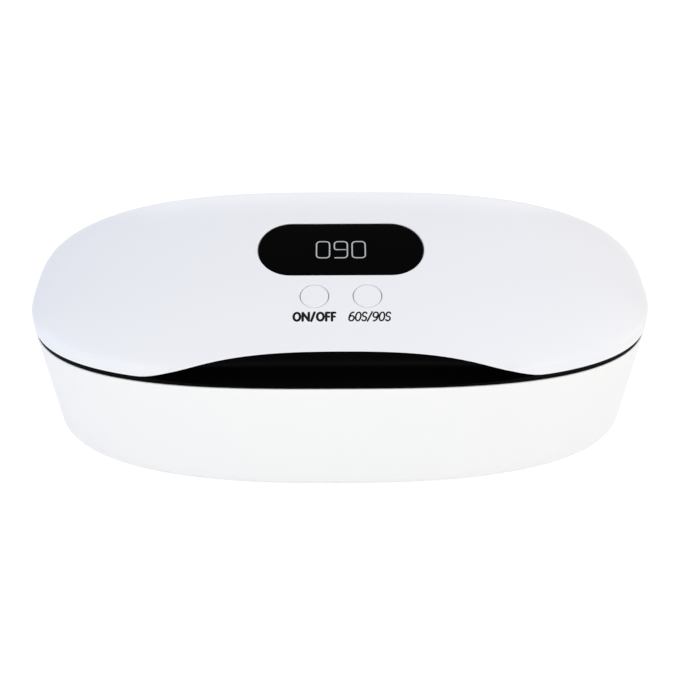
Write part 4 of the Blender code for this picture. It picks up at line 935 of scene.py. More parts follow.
def lid_column(direction):
    """One column of the lid's skin, from mid top over the lip to mid inside."""
    start = edge_travel(direction, 0.0, LIP_RADIUS)
    outer = []
    for step in range(OUTER_RINGS):
        travel = mix(start, 1.0, (step / OUTER_RINGS) ** RING_GATHER)
        outer.append(lid_point(direction, travel))
    lean = lid_lean(direction, start)
    ux, uy = direction
    across, along = ux * abs(ux) / LID_HALF_LENGTH, uy * abs(uy) / LID_HALF_WIDTH
    out = Vector((across, along, 0.0)).normalized()
    if outer[0].y < 0 and lean > 0:
        flat = outer[1] - outer[0]
        flat.z = 0.0
        downhill = -flat.normalized() if flat.length > 0 else out
        out = mix(out, downhill, min(lean / QUARTER_TURN, 1.0)).normalized()

    def spoke(angle):
        return LIP_RADIUS * (out * math.cos(angle) + Vector((0, 0, math.sin(angle))))

    centre = outer[0] - spoke(lean)
    lip = []
    for step in range(1, LIP_STEPS + 1):
        lip.append(centre + spoke(mix(lean, -QUARTER_TURN, step / LIP_STEPS)))
    start = edge_travel(direction, LID_WALL, 0.0)
    inner = []
    for step in range(INNER_RINGS):
        inner.append(lid_point(direction, mix(start, 1.0, step / INNER_RINGS), LID_WALL))
    return outer[::-1] + lip + inner


def dome_rings(outline, layers):
    """Rings of an outline at several depths under the dome.

    Each layer grows the outline by its first value, as outline gives it, and
    lies its second value under the dome.
    """
    rings = []
    for grow, drop in layers:
        rings.append([(x, y, lid_height(x, y) - drop) for x, y in outline(grow)])
    return rings


def dome_plug(bm, outline, middle, layers):
    """A solid that follows the dome, with its two faces gathered to a point."""
    rings = dome_rings(outline, layers)
    faces = []
    for ring, drop in ((rings[0], layers[0][1]), (rings[-1], layers[-1][1])):
        face = []
        for share in SLICE_SHARES:
            flat = [
                (mix(middle[0], x, share), mix(middle[1], y, share)) for x, y, z in ring
            ]
            face.append([(x, y, lid_height(x, y) - drop) for x, y in flat])
        faces.append(face)
    peak = lid_height(*middle)
    top = (*middle, peak - layers[0][1])
    bottom = (*middle, peak - layers[-1][1])
    loft(bm, faces[0][::-1] + rings + faces[1], top, bottom)


def display_outline(grow):
    """The display's outline, grown or shrunk all round."""
    length, width = DISPLAY_LENGTH + 2 * grow, DISPLAY_WIDTH + 2 * grow
    return pill(length, width, DISPLAY_END + grow, DISPLAY_END_STEPS, DISPLAY_MIDDLE)


def button_outline(place, radius):
    """A function that gives a button's round outline, grown by what it is told."""
    def outline(grow):
        reach = radius + grow
        points = []
        for step in range(BUTTON_SIDES):
            angle = FULL_TURN * step / BUTTON_SIDES
            x, y = place[0] + reach * math.cos(angle), place[1] + reach * math.sin(angle)
            points.append((x, y))
        return points
    return outline


def lip_layers(gap, radius, depth):
    """Layers of a cutter that leaves a rounded edge at the dome's face."""
    layers = [(gap + inward, drop) for inward, drop in bend(radius, RIM_STEPS)]
    return [(gap + radius, -CUT_OVERRUN)] + layers + [(gap, depth)]


def face_normal(x, y):
    """The dome's own normal, without the facets that cutting leaves."""
    across = lid_height(x + PROBE, y) - lid_height(x - PROBE, y)
    along = lid_height(x, y + PROBE) - lid_height(x, y - PROBE)
    return Vector((-across, -along, 2 * PROBE)).normalized()


def true_normals(piece, drop=0.0):
    """Give a piece's face, which lies a drop under the dome, the dome's normal."""
    mesh = piece.data
    normals = [Vector(normal.vector) for normal in mesh.corner_normals]
    for polygon in mesh.polygons:
        for index in polygon.loop_indices:
            x, y, z = mesh.vertices[mesh.loops[index].vertex_index].co
            if abs(x) > TRUE_ZONE[0] or abs(y) > TRUE_ZONE[1]:
                continue
            normal = face_normal(x, y)
            flush = abs(z - lid_height(x, y) + drop) < PROBE
            if flush and polygon.normal.dot(normal) > math.cos(TRUE_ANGLE):
                normals[index] = normal
    mesh.normals_split_custom_set(normals)


def add_boss(bm, place):
    """A screw boss that runs up into the dome's wall."""
    outline = button_outline(place, BOSS_RADIUS)(0.0)
    lower = [(x, y, BOSS_LOW) for x, y in outline]
    upper = [(x, y, lid_height(x, y) - LID_WALL / 2) for x, y in outline]
    loft(bm, [lower, upper], None, (*place, lid_height(*place) - LID_WALL / 2))


def make_lid():
    """The dome with its knuckles and bosses joined on and its openings cut."""
    columns = [lid_column(direction) for direction in DIRECTIONS]
    rings = [[column[level] for column in columns] for level in range(len(columns[0]))]
    bm = bmesh.new()
    peak, hollow = lid_height(0.0, 0.0), lid_height(0.0, 0.0, LID_WALL)
    loft(bm, rings, (0.0, 0.0, peak), (0.0, 0.0, hollow))
    lid = add_piece("lid_moulding", bm, SHADED_WHITE_ABS)
    bm = bmesh.new()
    for side in (-1, 1):
        start = side * HINGE_X - LID_KNUCKLE / 2
        hinge_eye(bm, start, LID_KNUCKLE, LID_ROOT_Y, LID_ROOT_HIGH, LID_ROOT_LOW)
    carve(lid, bm, "UNION")
    bm = bmesh.new()
    layers = ((DISPLAY_FRAME, LID_WALL / 2), (DISPLAY_FRAME, DISPLAY_FRAME_DEPTH))
    dome_plug(bm, display_outline, DISPLAY_MIDDLE, layers)
    for place in SCREW_PLACES:
        add_boss(bm, place)
    carve(lid, bm, "UNION")
    bm = bmesh.new()
    reach = HINGE_X + LID_KNUCKLE + CUT_OVERRUN
    turned(bm, ((PIN_BORE, -reach), (PIN_BORE, reach)), (HINGE_Y, HINGE_Z), axis="X")
    layers = lip_layers(SLIDE_GAP, DISPLAY_LIP, DISPLAY_RECESS)
    dome_plug(bm, display_outline, DISPLAY_MIDDLE, layers)
    layers = lip_layers(SLIDE_GAP, BUTTON_LIP, LID_WALL + CUT_OVERRUN)
    for place in BUTTON_PLACES.values():
        dome_plug(bm, button_outline(place, BUTTON_RADIUS), place, layers)
    bore = ((BOSS_BORE, BOSS_LOW - CUT_OVERRUN), (BOSS_BORE, BOSS_BORE_HIGH))
    for place in SCREW_PLACES:
        turned(bm, bore, place)
    carve(lid, bm)
    bm = bmesh.new()
    high, low = DISPLAY_RECESS - CUT_OVERRUN / 2, DISPLAY_FRAME_DEPTH + CUT_OVERRUN
    layers = ((-DISPLAY_LEDGE, high), (-DISPLAY_LEDGE, low))
    dome_plug(bm, display_outline, DISPLAY_MIDDLE, layers)
    carve(lid, bm)
    true_normals(lid)
    fit_out(lid, "lid", ["lid_shell"])


make_lid()

# Display lens. A pill of smoked acrylic is bonded into the recess, so that the
# display looks all black until its digits light. It follows the dome, and its
# upper edge is rounded off a little.
LENS_THICKNESS = 1.4 * MM
LENS_SINK = 0.1 * MM
LENS_ROUNDING = 0.35 * MM

# Smoked acrylic over a black mask: deep black, glossy, with faint streaks of
# polish. Its mirror is kept weak, as the lens shows near black in the photo.
SMOKED_ACRYLIC = surface(
    "smoked_acrylic", ("#030304", "#020202"),
    tone_size=60.0 * MM, ripple_size=16.0 * MM, ripple_depth=0.004 * MM,
    roughness=(0.12, 0.2), fixed={"IOR": 1.49, "Specular IOR Level": 0.012},
)


def plug_layers(sink, rounding, depth):
    """Layers of a solid under the dome with a rounded upper edge."""
    layers = [(-inward, sink + drop) for inward, drop in bend(rounding, RIM_STEPS)]
    return layers + [(0.0, sink + depth)]


def make_lens():
    """The lens in its recess."""
    bm = bmesh.new()
    layers = plug_layers(LENS_SINK, LENS_ROUNDING, LENS_THICKNESS)
    dome_plug(bm, display_outline, DISPLAY_MIDDLE, layers)
    lens = add_piece("lens_pane", bm, SMOKED_ACRYLIC)
    true_normals(lens, LENS_SINK)
    fit_out(lens, "lid", ["display_lens"])


make_lens()

# Display digits. Three digits of lit segments show through the lens, here as
# 090. They are thin strokes with rounded corners that lie on the lens. The
# module behind them, on the board, is black.
DIGIT_WIDTH = 5.6 * MM
DIGIT_HEIGHT = 9.3 * MM
DIGIT_PITCH = 6.95 * MM
DIGIT_MIDDLE = (0.4 * MM, 0.9 * MM)
DIGIT_STROKE = 0.5 * MM
DIGIT_BAR_STROKE = 0.38 * MM
DIGIT_CORNER = 1.7 * MM
DIGIT_CORNER_STEPS = 6
STROKE_PROUD = 0.02 * MM
STROKE_SUNK = 0.05 * MM
STROKE_END_STEPS = 6
GLOW_PATCH = 1.5 * MM
GLOW_RANGE = (0.92, 1.08)
# The strokes' corners on a grid that is one wide and two high. Short gaps part
# the segments.
DIGIT_PATHS = {
    "0": (
        ((0, 1.05), (0, 2), (1, 2), (1, 1.05)),
        ((0, 0.95), (0, 0), (1, 0), (1, 0.95)),
    ),
    "9": (
        ((0.3, 1), (0, 1), (0, 2), (1, 2), (1, 1.05)),
        ((1, 0.95), (1, 0), (0.05, 0)),
        ((0.35, 1), (0.9, 1)),
    ),
}


def glow(name, code, strength):
    """Light that comes through a diffuser, a little stronger in places."""
    material = bpy.data.materials.new(name)
    tree = blank_tree(material)
    place = add_node(tree, "TexCoord", {}).outputs["Object"]
    patch = add_node(
        tree, "TexNoise", {"Vector": place, "Scale": 1 / GLOW_PATCH, "Detail": 1.0}
    )
    dim, full = (share * strength for share in GLOW_RANGE)
    level = add_node(
        tree, "MapRange", {"Value": patch.outputs["Fac"], "To Min": dim, "To Max": full}
    )
    light = add_node(
        tree, "Emission", {"Color": colour(code), "Strength": level.outputs["Result"]}
    )
    add_node(tree, "OutputMaterial", {"Surface": light.outputs["Emission"]})
    return material


# White diodes behind the smoked lens: cool light grey rather than white.
DIGIT_LIGHT = glow("digit_light", "#B4B8BB", strength=1.0)
# Black polycarbonate of switches, buzzer and display module: matt, with a grain
# that is drawn 0.4 mm wide, coarser than real, so that it shows.
BLACK_PLASTIC = surface(
    "black_plastic", ("#161617", "#1C1C1E"),
    tone_size=5.0 * MM, ripple_size=0.4 * MM, ripple_depth=0.005 * MM,
    roughness=(0.5, 0.65), fixed={"IOR": 1.58},
)


def stroke_outline(start, end, width):
    """A stroke between two plan points, with round ends."""
    across, along = end[0] - start[0], end[1] - start[1]
    heading = math.atan2(along, across)
    reach = width / 2
    points = []
    for point, turn in ((end, -QUARTER_TURN), (start, QUARTER_TURN)):
        for step in range(STROKE_END_STEPS + 1):
            angle = heading + turn + math.pi * step / STROKE_END_STEPS
            x, y = point[0] + reach * math.cos(angle), point[1] + reach * math.sin(angle)
            points.append((x, y))
    return points


def lay_stroke(bm, start, end, width, drop):
    """A thin flat body along a stroke, on the dome or a drop under it."""
    outline = stroke_outline(start, end, width)
    rings = []
    for lift in (-STROKE_SUNK, STROKE_PROUD):
        rings.append([(x, y, lid_height(x, y) - drop + lift) for x, y in outline])
    loft(bm, rings)


def round_corners(points, radius, steps):
    """A path of plan points with its corners rounded."""
    path = [points[0]]
    for before, corner, after in zip(points, points[1:], points[2:]):
        ends = []
        for other in (before, after):
            share = min(0.5, radius / (other - corner).length)
            ends.append(mix(corner, other, share))
        for step in range(steps + 1):
            share = step / steps
            near, far = mix(ends[0], corner, share), mix(corner, ends[1], share)
            path.append(mix(near, far, share))
    return path + [points[-1]]


def make_digits():
    """The strokes of the three digits, with their middle bar thinner."""
    bm = bmesh.new()
    half_width = (DIGIT_WIDTH - DIGIT_STROKE) / 2
    half_height = (DIGIT_HEIGHT - DIGIT_STROKE) / 2
    for number, digit in enumerate("090"):
        middle = DIGIT_MIDDLE[0] + (number - 1) * DIGIT_PITCH
        for path in DIGIT_PATHS[digit]:
            corners = []
            for column, row in path:
                x = middle + (2 * column - 1) * half_width
                corners.append(Vector((x, DIGIT_MIDDLE[1] + (row - 1) * half_height)))
            width = DIGIT_BAR_STROKE if len(path) == 2 else DIGIT_STROKE
            points = round_corners(corners, DIGIT_CORNER, DIGIT_CORNER_STEPS)
            for near, far in zip(points, points[1:]):
                if (far - near).length > WELD_DISTANCE:
                    lay_stroke(bm, near, far, width, LENS_SINK)
    fit_out(add_piece("display_digits", bm, DIGIT_LIGHT), "lid")
    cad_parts["display_module"].data.materials[0] = BLACK_PLASTIC


make_digits()

# Printed labels. Black pad-print ink under the buttons: a bold ON/OFF under
# the left one, and a lighter, slanted 60S/90S under the right one.
LABEL_BOTTOM = -34.5 * MM
LABEL_TOP = -30.05 * MM
ARC_STEPS = 14
# Widths of the letters, as shares of their height.
GLYPH_WIDTHS = {
    "O": 0.7, "N": 0.64, "/": 0.34, "F": 0.34, "6": 0.48, "0": 0.5, "9": 0.48, "S": 0.42,
}

# Pad-printing ink: black with a slightly uneven film.
PRINT_INK = surface(
    "print_ink", ("#08080A", "#0E0E10"),
    tone_size=3.0 * MM, ripple_size=0.6 * MM, ripple_depth=0.002 * MM,
    roughness=(0.4, 0.55), fixed={"IOR": 1.5, "Specular IOR Level": 0.1},
)


def arc(middle, radii, start, end):
    """Points along part of an ellipse, with its angles in degrees."""
    points = []
    for step in range(ARC_STEPS + 1):
        angle = math.radians(mix(start, end, step / ARC_STEPS))
        x = middle[0] + radii[0] * math.cos(angle)
        points.append((x, middle[1] + radii[1] * math.sin(angle)))
    return points


def glyph(letter):
    """The paths of a letter's middle line, one high."""
    w = GLYPH_WIDTHS[letter]
    half = w / 2
    if letter in "O0":
        return [arc((half, 0.5), (half, 0.5), 0, 360)]
    if letter == "N":
        return [[(0, 0), (0, 1), (w, 0), (w, 1)]]
    if letter == "F":
        return [[(w, 1), (0, 1), (0, 0)], [(0, 0.5), (0.85 * w, 0.5)]]
    if letter == "/":
        return [[(0, -0.04), (w, 1.04)]]
    if letter == "S":
        upper = arc((half, 0.75), (0.48 * w, 0.25), 25, 270)
        lower = arc((half, 0.25), (0.5 * w, 0.25), 90, -155)
        return [upper + lower[1:]]
    bowl = arc((half, 0.3), (half, 0.3), 0, 360)
    stem = arc((0.66 * w, 0.32), (0.66 * w, 0.68), 180, 80)
    if letter == "6":
        return [bowl, stem]
    return [[(w - x, 1 - y) for x, y in path] for path in (bowl, stem)]


def print_label(name, text, left, right, width, slant):
    """Print a text between two places on the dome, as strokes of one width."""
    bm = bmesh.new()
    tall = LABEL_TOP - LABEL_BOTTOM - width
    widths = [GLYPH_WIDTHS[letter] * tall for letter in text]
    spare = right - left - width - slant * tall - sum(widths)
    start, foot = left + width / 2, LABEL_BOTTOM + width / 2
    for letter, wide in zip(text, widths):
        for path in glyph(letter):
            points = [
                Vector((start + (x + slant * y) * tall, foot + y * tall)) for x, y in path
            ]
            for near, far in zip(points, points[1:]):
                lay_stroke(bm, near, far, width, 0.0)
        start += wide + spare / (len(text) - 1)
    fit_out(add_piece(name, bm, PRINT_INK), "lid")


print_label(
    "label_switch", "ON/OFF", left=-17.8 * MM, right=-1.4 * MM, width=0.95 * MM, slant=0.0
)
print_label(
    "label_seconds", "60S/90S", left=2.8 * MM, right=19.2 * MM, width=0.62 * MM, slant=0.14
)

# Buttons. Two white caps follow the dome and stand nearly flush in their
# holes. A flange under the wall keeps each in, and its stem stands over the
# plunger of a push switch on the control board.
BUTTON_SINK = 0.05 * MM
BUTTON_ROUNDING = 0.55 * MM
BUTTON_FLANGE = 0.9 * MM
BUTTON_FLANGE_TOP = 2.3 * MM
BUTTON_BOTTOM = 3.0 * MM
BUTTON_STEM_RADIUS = 1.8 * MM
BUTTON_STEM_LOW = 68.7 * MM


def make_button(kind, place):
    """One cap with its flange and stem, on the body that is pressed."""
    layers = plug_layers(BUTTON_SINK, BUTTON_ROUNDING, BUTTON_FLANGE_TOP - BUTTON_SINK)
    layers += [(BUTTON_FLANGE, BUTTON_FLANGE_TOP), (BUTTON_FLANGE, BUTTON_BOTTOM)]
    bm = bmesh.new()
    dome_plug(bm, button_outline(place, BUTTON_RADIUS), place, layers)
    # The cap takes the lid's colour, with its painted shade.
    cap = add_piece(kind + "_cap", bm, SHADED_WHITE_ABS)
    bm = bmesh.new()
    high = lid_height(*place) - BUTTON_FLANGE_TOP
    turned(bm, ((BUTTON_STEM_RADIUS, BUTTON_STEM_LOW), (BUTTON_STEM_RADIUS, high)), place)
    carve(cap, bm, "UNION")
    true_normals(cap, BUTTON_SINK)
    fit_out(cap, kind + "_button", ["button_" + kind])
    for node in ("plunger_" + kind, "switch_" + kind):
        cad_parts[node].data.materials[0] = BLACK_PLASTIC


for button_kind, button_place in BUTTON_PLACES.items():
    make_button(button_kind, button_place)

# Control board. A green board is screwed to standoffs on the lid panel. With it
# come the buzzer and the glass reed switch, which senses the magnet when the lid
# is shut.

# Soda-lime glass of the reed switch: clear, with a faint green.
REED_GLASS = surface(
    "reed_glass", ("#DFE8E2", "#D6E2DA"),
    tone_size=3.0 * MM, ripple_size=1.0 * MM, ripple_depth=0.002 * MM,
    roughness=(0.04, 0.1), fixed={"IOR": 1.52, "Transmission Weight": 0.9},
)
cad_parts["control_board"].data.materials[0] = GREEN_BOARD
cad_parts["buzzer"].data.materials[0] = BLACK_PLASTIC
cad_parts["lid_sensor"].data.materials[0] = REED_GLASS
for number in range(1, 5):
    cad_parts["board_screw_%d" % number].data.materials[0] = STEEL

# Lamp boards. One narrow board on each side carries three ultraviolet diodes:
# a white ceramic body with a clear dome in its bowl. Under them, a quartz
# window with a lip is dropped into a slot of the panel.
LAMP_X = 72.0 * MM
LAMP_YS = (-10.0 * MM, 4.0 * MM, 18.0 * MM)
LAMP_HALF = 1.75 * MM
LAMP_LOW = 63.3 * MM
LAMP_HIGH = 64.3 * MM
LAMP_ROUNDING = 0.12 * MM
BOWL_RADIUS = 1.3 * MM
BOWL_DEPTH = 0.5 * MM
LAMP_LENS_RADIUS = 0.96 * BOWL_RADIUS
LAMP_LENS_HEIGHT = 0.9 * BOWL_DEPTH
LAMP_LENS_STEPS = 6
# The lens ends in a small flat, this share of a step from its tip.
LAMP_LENS_TIP = 0.4
WINDOW_WIDTH = 7.0 * MM
WINDOW_LENGTH = 36.0 * MM
WINDOW_MIDDLE_Y = 4.0 * MM
WINDOW_STEPS = 20
WINDOW_LIP = 1.2 * MM
WINDOW_LOW = 60.6 * MM
WINDOW_LIP_LOW = 62.1 * MM
WINDOW_HIGH = 62.7 * MM
WINDOW_ROUNDING = 0.3 * MM

# Alumina ceramic: white and matt. Its speckle is drawn 0.8 mm wide, coarser than
# real, so that it shows.
CERAMIC = surface(
    "ceramic", ("#E4E2DC", "#D8D6CF"),
    tone_size=0.8 * MM, ripple_size=0.3 * MM, ripple_depth=0.003 * MM,
    roughness=(0.5, 0.65), fixed={"IOR": 1.76},
)
# Optical silicone over the diode: clear and glossy with a faint violet cast.
LAMP_LENS = surface(
    "lamp_lens", ("#D9D6F2", "#CFCBEE"),
    tone_size=1.5 * MM, ripple_size=0.8 * MM, ripple_depth=0.002 * MM,
    roughness=(0.04, 0.1), fixed={"IOR": 1.41, "Transmission Weight": 0.8},
)
# Fused quartz, fire polished: water clear, with faint draw lines.
QUARTZ = surface(
    "quartz", ("#F1F5F8", "#E9EFF4"),
    tone_size=20.0 * MM, ripple_size=5.0 * MM, ripple_depth=0.004 * MM,
    roughness=(0.02, 0.07), fixed={"IOR": 1.46, "Transmission Weight": 0.92},
)


def window_rings(side, layers):
    """Rings of a lamp window's outline, each grown and at its height."""
    rings = []
    for grow, height in layers:
        width, length = WINDOW_WIDTH + 2 * grow, WINDOW_LENGTH + 2 * grow
        flat = pill(length, width, width / 2, WINDOW_STEPS)
        rings.append([(side * LAMP_X - y, WINDOW_MIDDLE_Y + x, height) for x, y in flat])
    return rings


def make_lamp(side_name, number, x, y):
    """One diode: its ceramic body with the bowl, and the dome in the bowl."""
    label = "%s_%d" % (side_name, number)
    bm = bmesh.new()
    add_block(
        bm,
        (x - LAMP_HALF, y - LAMP_HALF, LAMP_LOW),
        (x + LAMP_HALF, y + LAMP_HALF, LAMP_HIGH),
    )
    body = add_piece("lamp_body_" + label, bm, CERAMIC)
    bm = bmesh.new()
    bowl_floor = LAMP_LOW + BOWL_DEPTH
    turned(bm, ((BOWL_RADIUS, LAMP_LOW - CUT_OVERRUN), (BOWL_RADIUS, bowl_floor)), (x, y))
    carve(body, bm)
    round_edges(body, LAMP_ROUNDING)
    fit_out(body, "lid", ["uv_lamp_" + label])
    profile = []
    for step in range(LAMP_LENS_STEPS + 1):
        angle = QUARTER_TURN * (step + LAMP_LENS_TIP) / (LAMP_LENS_STEPS + LAMP_LENS_TIP)
        height = bowl_floor - LAMP_LENS_HEIGHT * math.cos(angle)
        profile.append((LAMP_LENS_RADIUS * math.sin(angle), height))
    bm = bmesh.new()
    turned(bm, profile, (x, y))
    fit_out(add_piece("lamp_dome_" + label, bm, LAMP_LENS), "lid")


def make_lamp_side(side, name):
    """The board, diodes, screws and window of one side."""
    for number, y in enumerate(LAMP_YS, 1):
        make_lamp(name, number, side * LAMP_X, y)
    near = CORNER_SHARE * WINDOW_ROUNDING
    bm = bmesh.new()
    loft(bm, window_rings(side, (
        (-WINDOW_ROUNDING, WINDOW_LOW),
        (-near, WINDOW_LOW + near),
        (0.0, WINDOW_LOW + WINDOW_ROUNDING),
        (0.0, WINDOW_LIP_LOW),
        (WINDOW_LIP, WINDOW_LIP_LOW),
        (WINDOW_LIP, WINDOW_HIGH),
    )))
    pane = add_piece("window_pane_" + name, bm, QUARTZ)
    fit_out(pane, "lid", ["lamp_window_" + name])
    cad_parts["lamp_board_" + name].data.materials[0] = GREEN_BOARD
    for number in (1, 2):
        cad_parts["lamp_screw_%s_%d" % (name, number)].data.materials[0] = STEEL


make_lamp_side(-1, "left")
make_lamp_side(1, "right")

# Lid panel. A plated sheet closes the dome from below and throws the light
# back down. It has a slot for each window and standoffs for the boards, and
# six cross-recess screws run through it into the bosses under the dome.
PANEL_LOW = 60.6 * MM
PANEL_HIGH = 61.8 * MM
PANEL_INSET = 5.4 * MM
PANEL_FRONT_INSET = 15.5 * MM
PANEL_ROUNDING = 0.3 * MM
STANDOFF_RADIUS = 2.6 * MM
STANDOFF_BORE = 1.0 * MM
# Each standoff's place and top: first the control board's, then the lamps'.
STANDOFFS = [
    (x * MM, y * MM, high * MM)
    for side, high, ys in ((42.0, 62.6, (-23.0, 8.0)), (72.0, 64.3, (-18.0, 26.0)))
    for x in (-side, side)
    for y in ys
]
LEVEL_ANGLE = SMOOTH_ANGLE / 30
SCREW_HOLE_RADIUS = 1.25 * MM
SCREW_HEAD_RADIUS = 2.2 * MM
SCREW_HEAD = 1.3 * MM
SCREW_RADIUS = 1.1 * MM
SCREW_LENGTH = 6.0 * MM
SCREW_HEAD_ROUNDING = 0.75 * MM
CROSS_WIDTH = 0.55 * MM
CROSS_REACH = 1.25 * MM
CROSS_DEPTH = 0.85 * MM


def level_normals(piece):
    """Keep a sheet's two faces flat in the shading, right up to their edges."""
    mesh = piece.data
    normals = [Vector(normal.vector) for normal in mesh.corner_normals]
    for polygon in mesh.polygons:
        if abs(polygon.normal.z) > math.cos(LEVEL_ANGLE):
            for index in polygon.loop_indices:
                normals[index] = polygon.normal.copy()
    mesh.normals_split_custom_set(normals)


def make_panel():
    """The panel with the boards' standoffs, its slots and its screw holes."""
    bm = bmesh.new()
    ring = collar_ring(PANEL_INSET, 0.0, PANEL_FRONT_INSET, 0.0)
    loft(bm, [[(x, y, height) for x, y, z in ring] for height in (PANEL_LOW, PANEL_HIGH)])
    panel = add_piece("panel_plate", bm, BRIGHT_PLATING)
    bm = bmesh.new()
    low, high = PANEL_LOW - CUT_OVERRUN, PANEL_HIGH + CUT_OVERRUN
    for side in (-1, 1):
        loft(bm, window_rings(side, ((SLIDE_GAP, low), (SLIDE_GAP, high))))
    for place in SCREW_PLACES:
        turned(bm, ((SCREW_HOLE_RADIUS, low), (SCREW_HOLE_RADIUS, high)), place)
    carve(panel, bm)
    round_edges(panel, PANEL_ROUNDING)
    sunk = mix(PANEL_LOW, PANEL_HIGH, 0.5)
    for radius, overrun, operation in (
        (STANDOFF_RADIUS, 0.0, "UNION"), (STANDOFF_BORE, CUT_OVERRUN, "DIFFERENCE")
    ):
        bm = bmesh.new()
        for x, y, top in STANDOFFS:
            turned(bm, ((radius, sunk), (radius, top + overrun)), (x, y))
        carve(panel, bm, operation)
    level_normals(panel)
    fit_out(panel, "lid", ["lid_panel"])


def make_panel_screw(number, place):
    """A pan-head screw, head down, with the cross for the driver in its head."""
    low = PANEL_LOW - SEAT_GAP - SCREW_HEAD
    profile = [(SCREW_HEAD_RADIUS - 2 * SCREW_HEAD_ROUNDING, low)]
    for inward, rise in bend(SCREW_HEAD_ROUNDING, RIM_STEPS):
        profile.append((SCREW_HEAD_RADIUS - inward, low + rise))
    profile += [
        (SCREW_HEAD_RADIUS, low + SCREW_HEAD),
        (SCREW_RADIUS, low + SCREW_HEAD),
        (SCREW_RADIUS, low + SCREW_HEAD + SCREW_LENGTH),
    ]
    bm = bmesh.new()
    turned(bm, profile, place)
    screw = add_piece("panel_fixing_%d" % number, bm, STEEL)
    half = CROSS_WIDTH / 2
    for reach_x, reach_y in ((CROSS_REACH, half), (half, CROSS_REACH)):
        bm = bmesh.new()
        add_block(
            bm,
            (place[0] - reach_x, place[1] - reach_y, low - CUT_OVERRUN),
            (place[0] + reach_x, place[1] + reach_y, low + CROSS_DEPTH),
        )
        carve(screw, bm)
    fit_out(screw, "lid", ["panel_screw_%d" % number])


make_panel()
for screw_number, screw_place in enumerate(SCREW_PLACES, 1):
    make_panel_screw(screw_number, screw_place)

# Stage. Flat white card under the box, in an even light tent. Soft square lights
# stand in front, overhead to the right, at both sides and behind, and the left
# one is bluish.
FLOOR_REACH = 3.0
# The card's tone is faintly cloudy, in patches of this size.
CARD_PATCH = 25.0 * MM
CARD_BURN = 0.86
TENT_LIGHT = 0.65
AIM = Vector((0.0, -2.7, 55.1)) * MM
# The camera's angles are in radians, and its lens is in millimetres.
CAMERA_ELEVATION = 0.6486
CAMERA_YAW = -0.0018
CAMERA_ROLL = -0.0032
CAMERA_DISTANCE = 475.0 * MM
CAMERA_LENS = 62.65
CAMERA_SHIFT = (0.0, -0.0616)
CAMERA_NEAREST = 10.0 * MM
# Each light's name, its place and width in metres, its watts and its colour.
LIGHTS = (
    ("front_light", (0.0, -1.3, 0.7), 1.2, 9.6, "#FFFEF2"),
    ("top_light", (0.8, 0.3, 1.2), 1.2, 4.0, "#FFF8F0"),
    ("right_light", (1.3, 0.0, 0.5), 0.9, 2.3, "#FFF4E8"),
    ("left_light", (-1.3, 0.0, 0.7), 0.9, 3.7, "#B0D0FF"),
    ("back_light", (0.0, 1.4, 0.35), 1.0, 2.5, "#FFFFFF"),
)


def white_rays(tree):
    """A factor that is 1 for rays that show the background, and else 0."""
    path = add_node(tree, "LightPath", {})
    seen = path.outputs["Is Camera Ray"]
    for name in ("Is Glossy Ray", "Is Transmission Ray"):
        both = add_node(tree, "Math", {0: seen, 1: path.outputs[name]}, operation="MAXIMUM")
        seen = both.outputs[0]
    return seen


def card_material():
    """White card: burnt out where it is seen, and soft grey in the shade."""
    material = bpy.data.materials.new("white_card")
    tree = blank_tree(material)
    place = add_node(tree, "TexCoord", {}).outputs["Object"]
    cloud = add_node(
        tree, "TexNoise", {"Vector": place, "Scale": 1 / CARD_PATCH, "Detail": 4.0}
    )
    tone = add_node(
        tree, "Mix",
        {
            MIX_FACTOR: cloud.outputs["Fac"],
            MIX_FIRST: colour("#F4F4F4"),
            MIX_SECOND: colour("#FAFAFA"),
        },
        data_type="RGBA",
    )
    card = add_node(tree, "BsdfDiffuse", {"Color": tone.outputs[MIX_RESULT]})
    dim = add_node(tree, "BsdfDiffuse", {"Color": colour("#8C8C8C")})
    burn = add_node(tree, "Emission", {"Color": colour("#FFFFFF"), "Strength": CARD_BURN})
    bright = add_node(
        tree, "AddShader", {0: dim.outputs["BSDF"], 1: burn.outputs["Emission"]}
    )
    either = add_node(
        tree, "MixShader",
        {0: white_rays(tree), 1: card.outputs["BSDF"], 2: bright.outputs[0]},
    )
    add_node(tree, "OutputMaterial", {"Surface": either.outputs[0]})
    return material


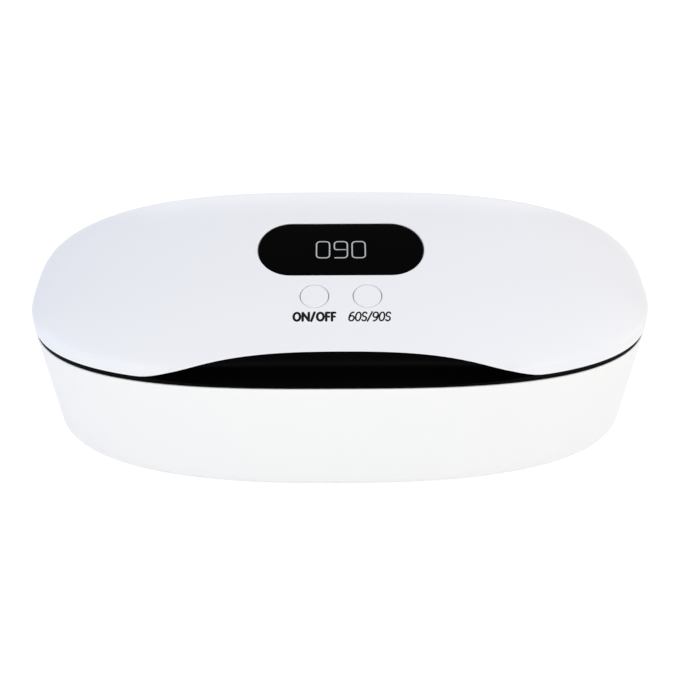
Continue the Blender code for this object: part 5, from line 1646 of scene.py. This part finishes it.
def make_floor():
    """The card that the box stands on."""
    bm = bmesh.new()
    reach = FLOOR_REACH
    corners = ((-reach, -reach), (reach, -reach), (reach, reach), (-reach, reach))
    bm.faces.new([bm.verts.new((x, y, 0.0)) for x, y in corners])
    floor = add_piece("floor_card", bm, card_material())
    floor.location = (0.0, 0.0, 0.0)


def make_world():
    """White where it is seen, and an even light from all round."""
    world = bpy.data.worlds.new("light_tent")
    tree = blank_tree(world)
    level = add_node(
        tree, "MapRange", {"Value": white_rays(tree), "To Min": TENT_LIGHT, "To Max": 1.0}
    )
    light = add_node(
        tree, "Background",
        {"Color": colour("#FFFFFF"), "Strength": level.outputs["Result"]},
    )
    add_node(tree, "OutputWorld", {"Surface": light.outputs["Background"]})
    bpy.context.scene.world = world


def add_light(name, place, size, power, code):
    """A soft square light that faces the box."""
    lamp = bpy.data.lights.new(name, "AREA")
    lamp.shape = "SQUARE"
    lamp.size = size
    lamp.energy = power
    lamp.color = colour(code)[:3]
    light = bpy.data.objects.new(name, lamp)
    light.location = place
    light.rotation_euler = (AIM - Vector(place)).to_track_quat("-Z", "Y").to_euler()
    bpy.context.scene.collection.objects.link(light)


def make_camera():
    """The camera, as fitted to the photo."""
    data = bpy.data.cameras.new("camera")
    data.lens = CAMERA_LENS
    data.shift_x, data.shift_y = CAMERA_SHIFT
    data.clip_start = CAMERA_NEAREST
    camera = bpy.data.objects.new("camera", data)
    level = math.cos(CAMERA_ELEVATION)
    toward = Vector((
        level * math.sin(CAMERA_YAW),
        -level * math.cos(CAMERA_YAW),
        math.sin(CAMERA_ELEVATION),
    ))
    camera.location = AIM + toward * CAMERA_DISTANCE
    turn = (-toward).to_track_quat("-Z", "Y").to_matrix().to_4x4()
    roll = Matrix.Rotation(CAMERA_ROLL, 4, "Z")
    camera.rotation_euler = (turn @ roll).to_euler()
    bpy.context.scene.collection.objects.link(camera)
    bpy.context.scene.camera = camera


make_floor()
make_world()
for light in LIGHTS:
    add_light(*light)
make_camera()
bpy.context.scene.view_settings.view_transform = "Standard"
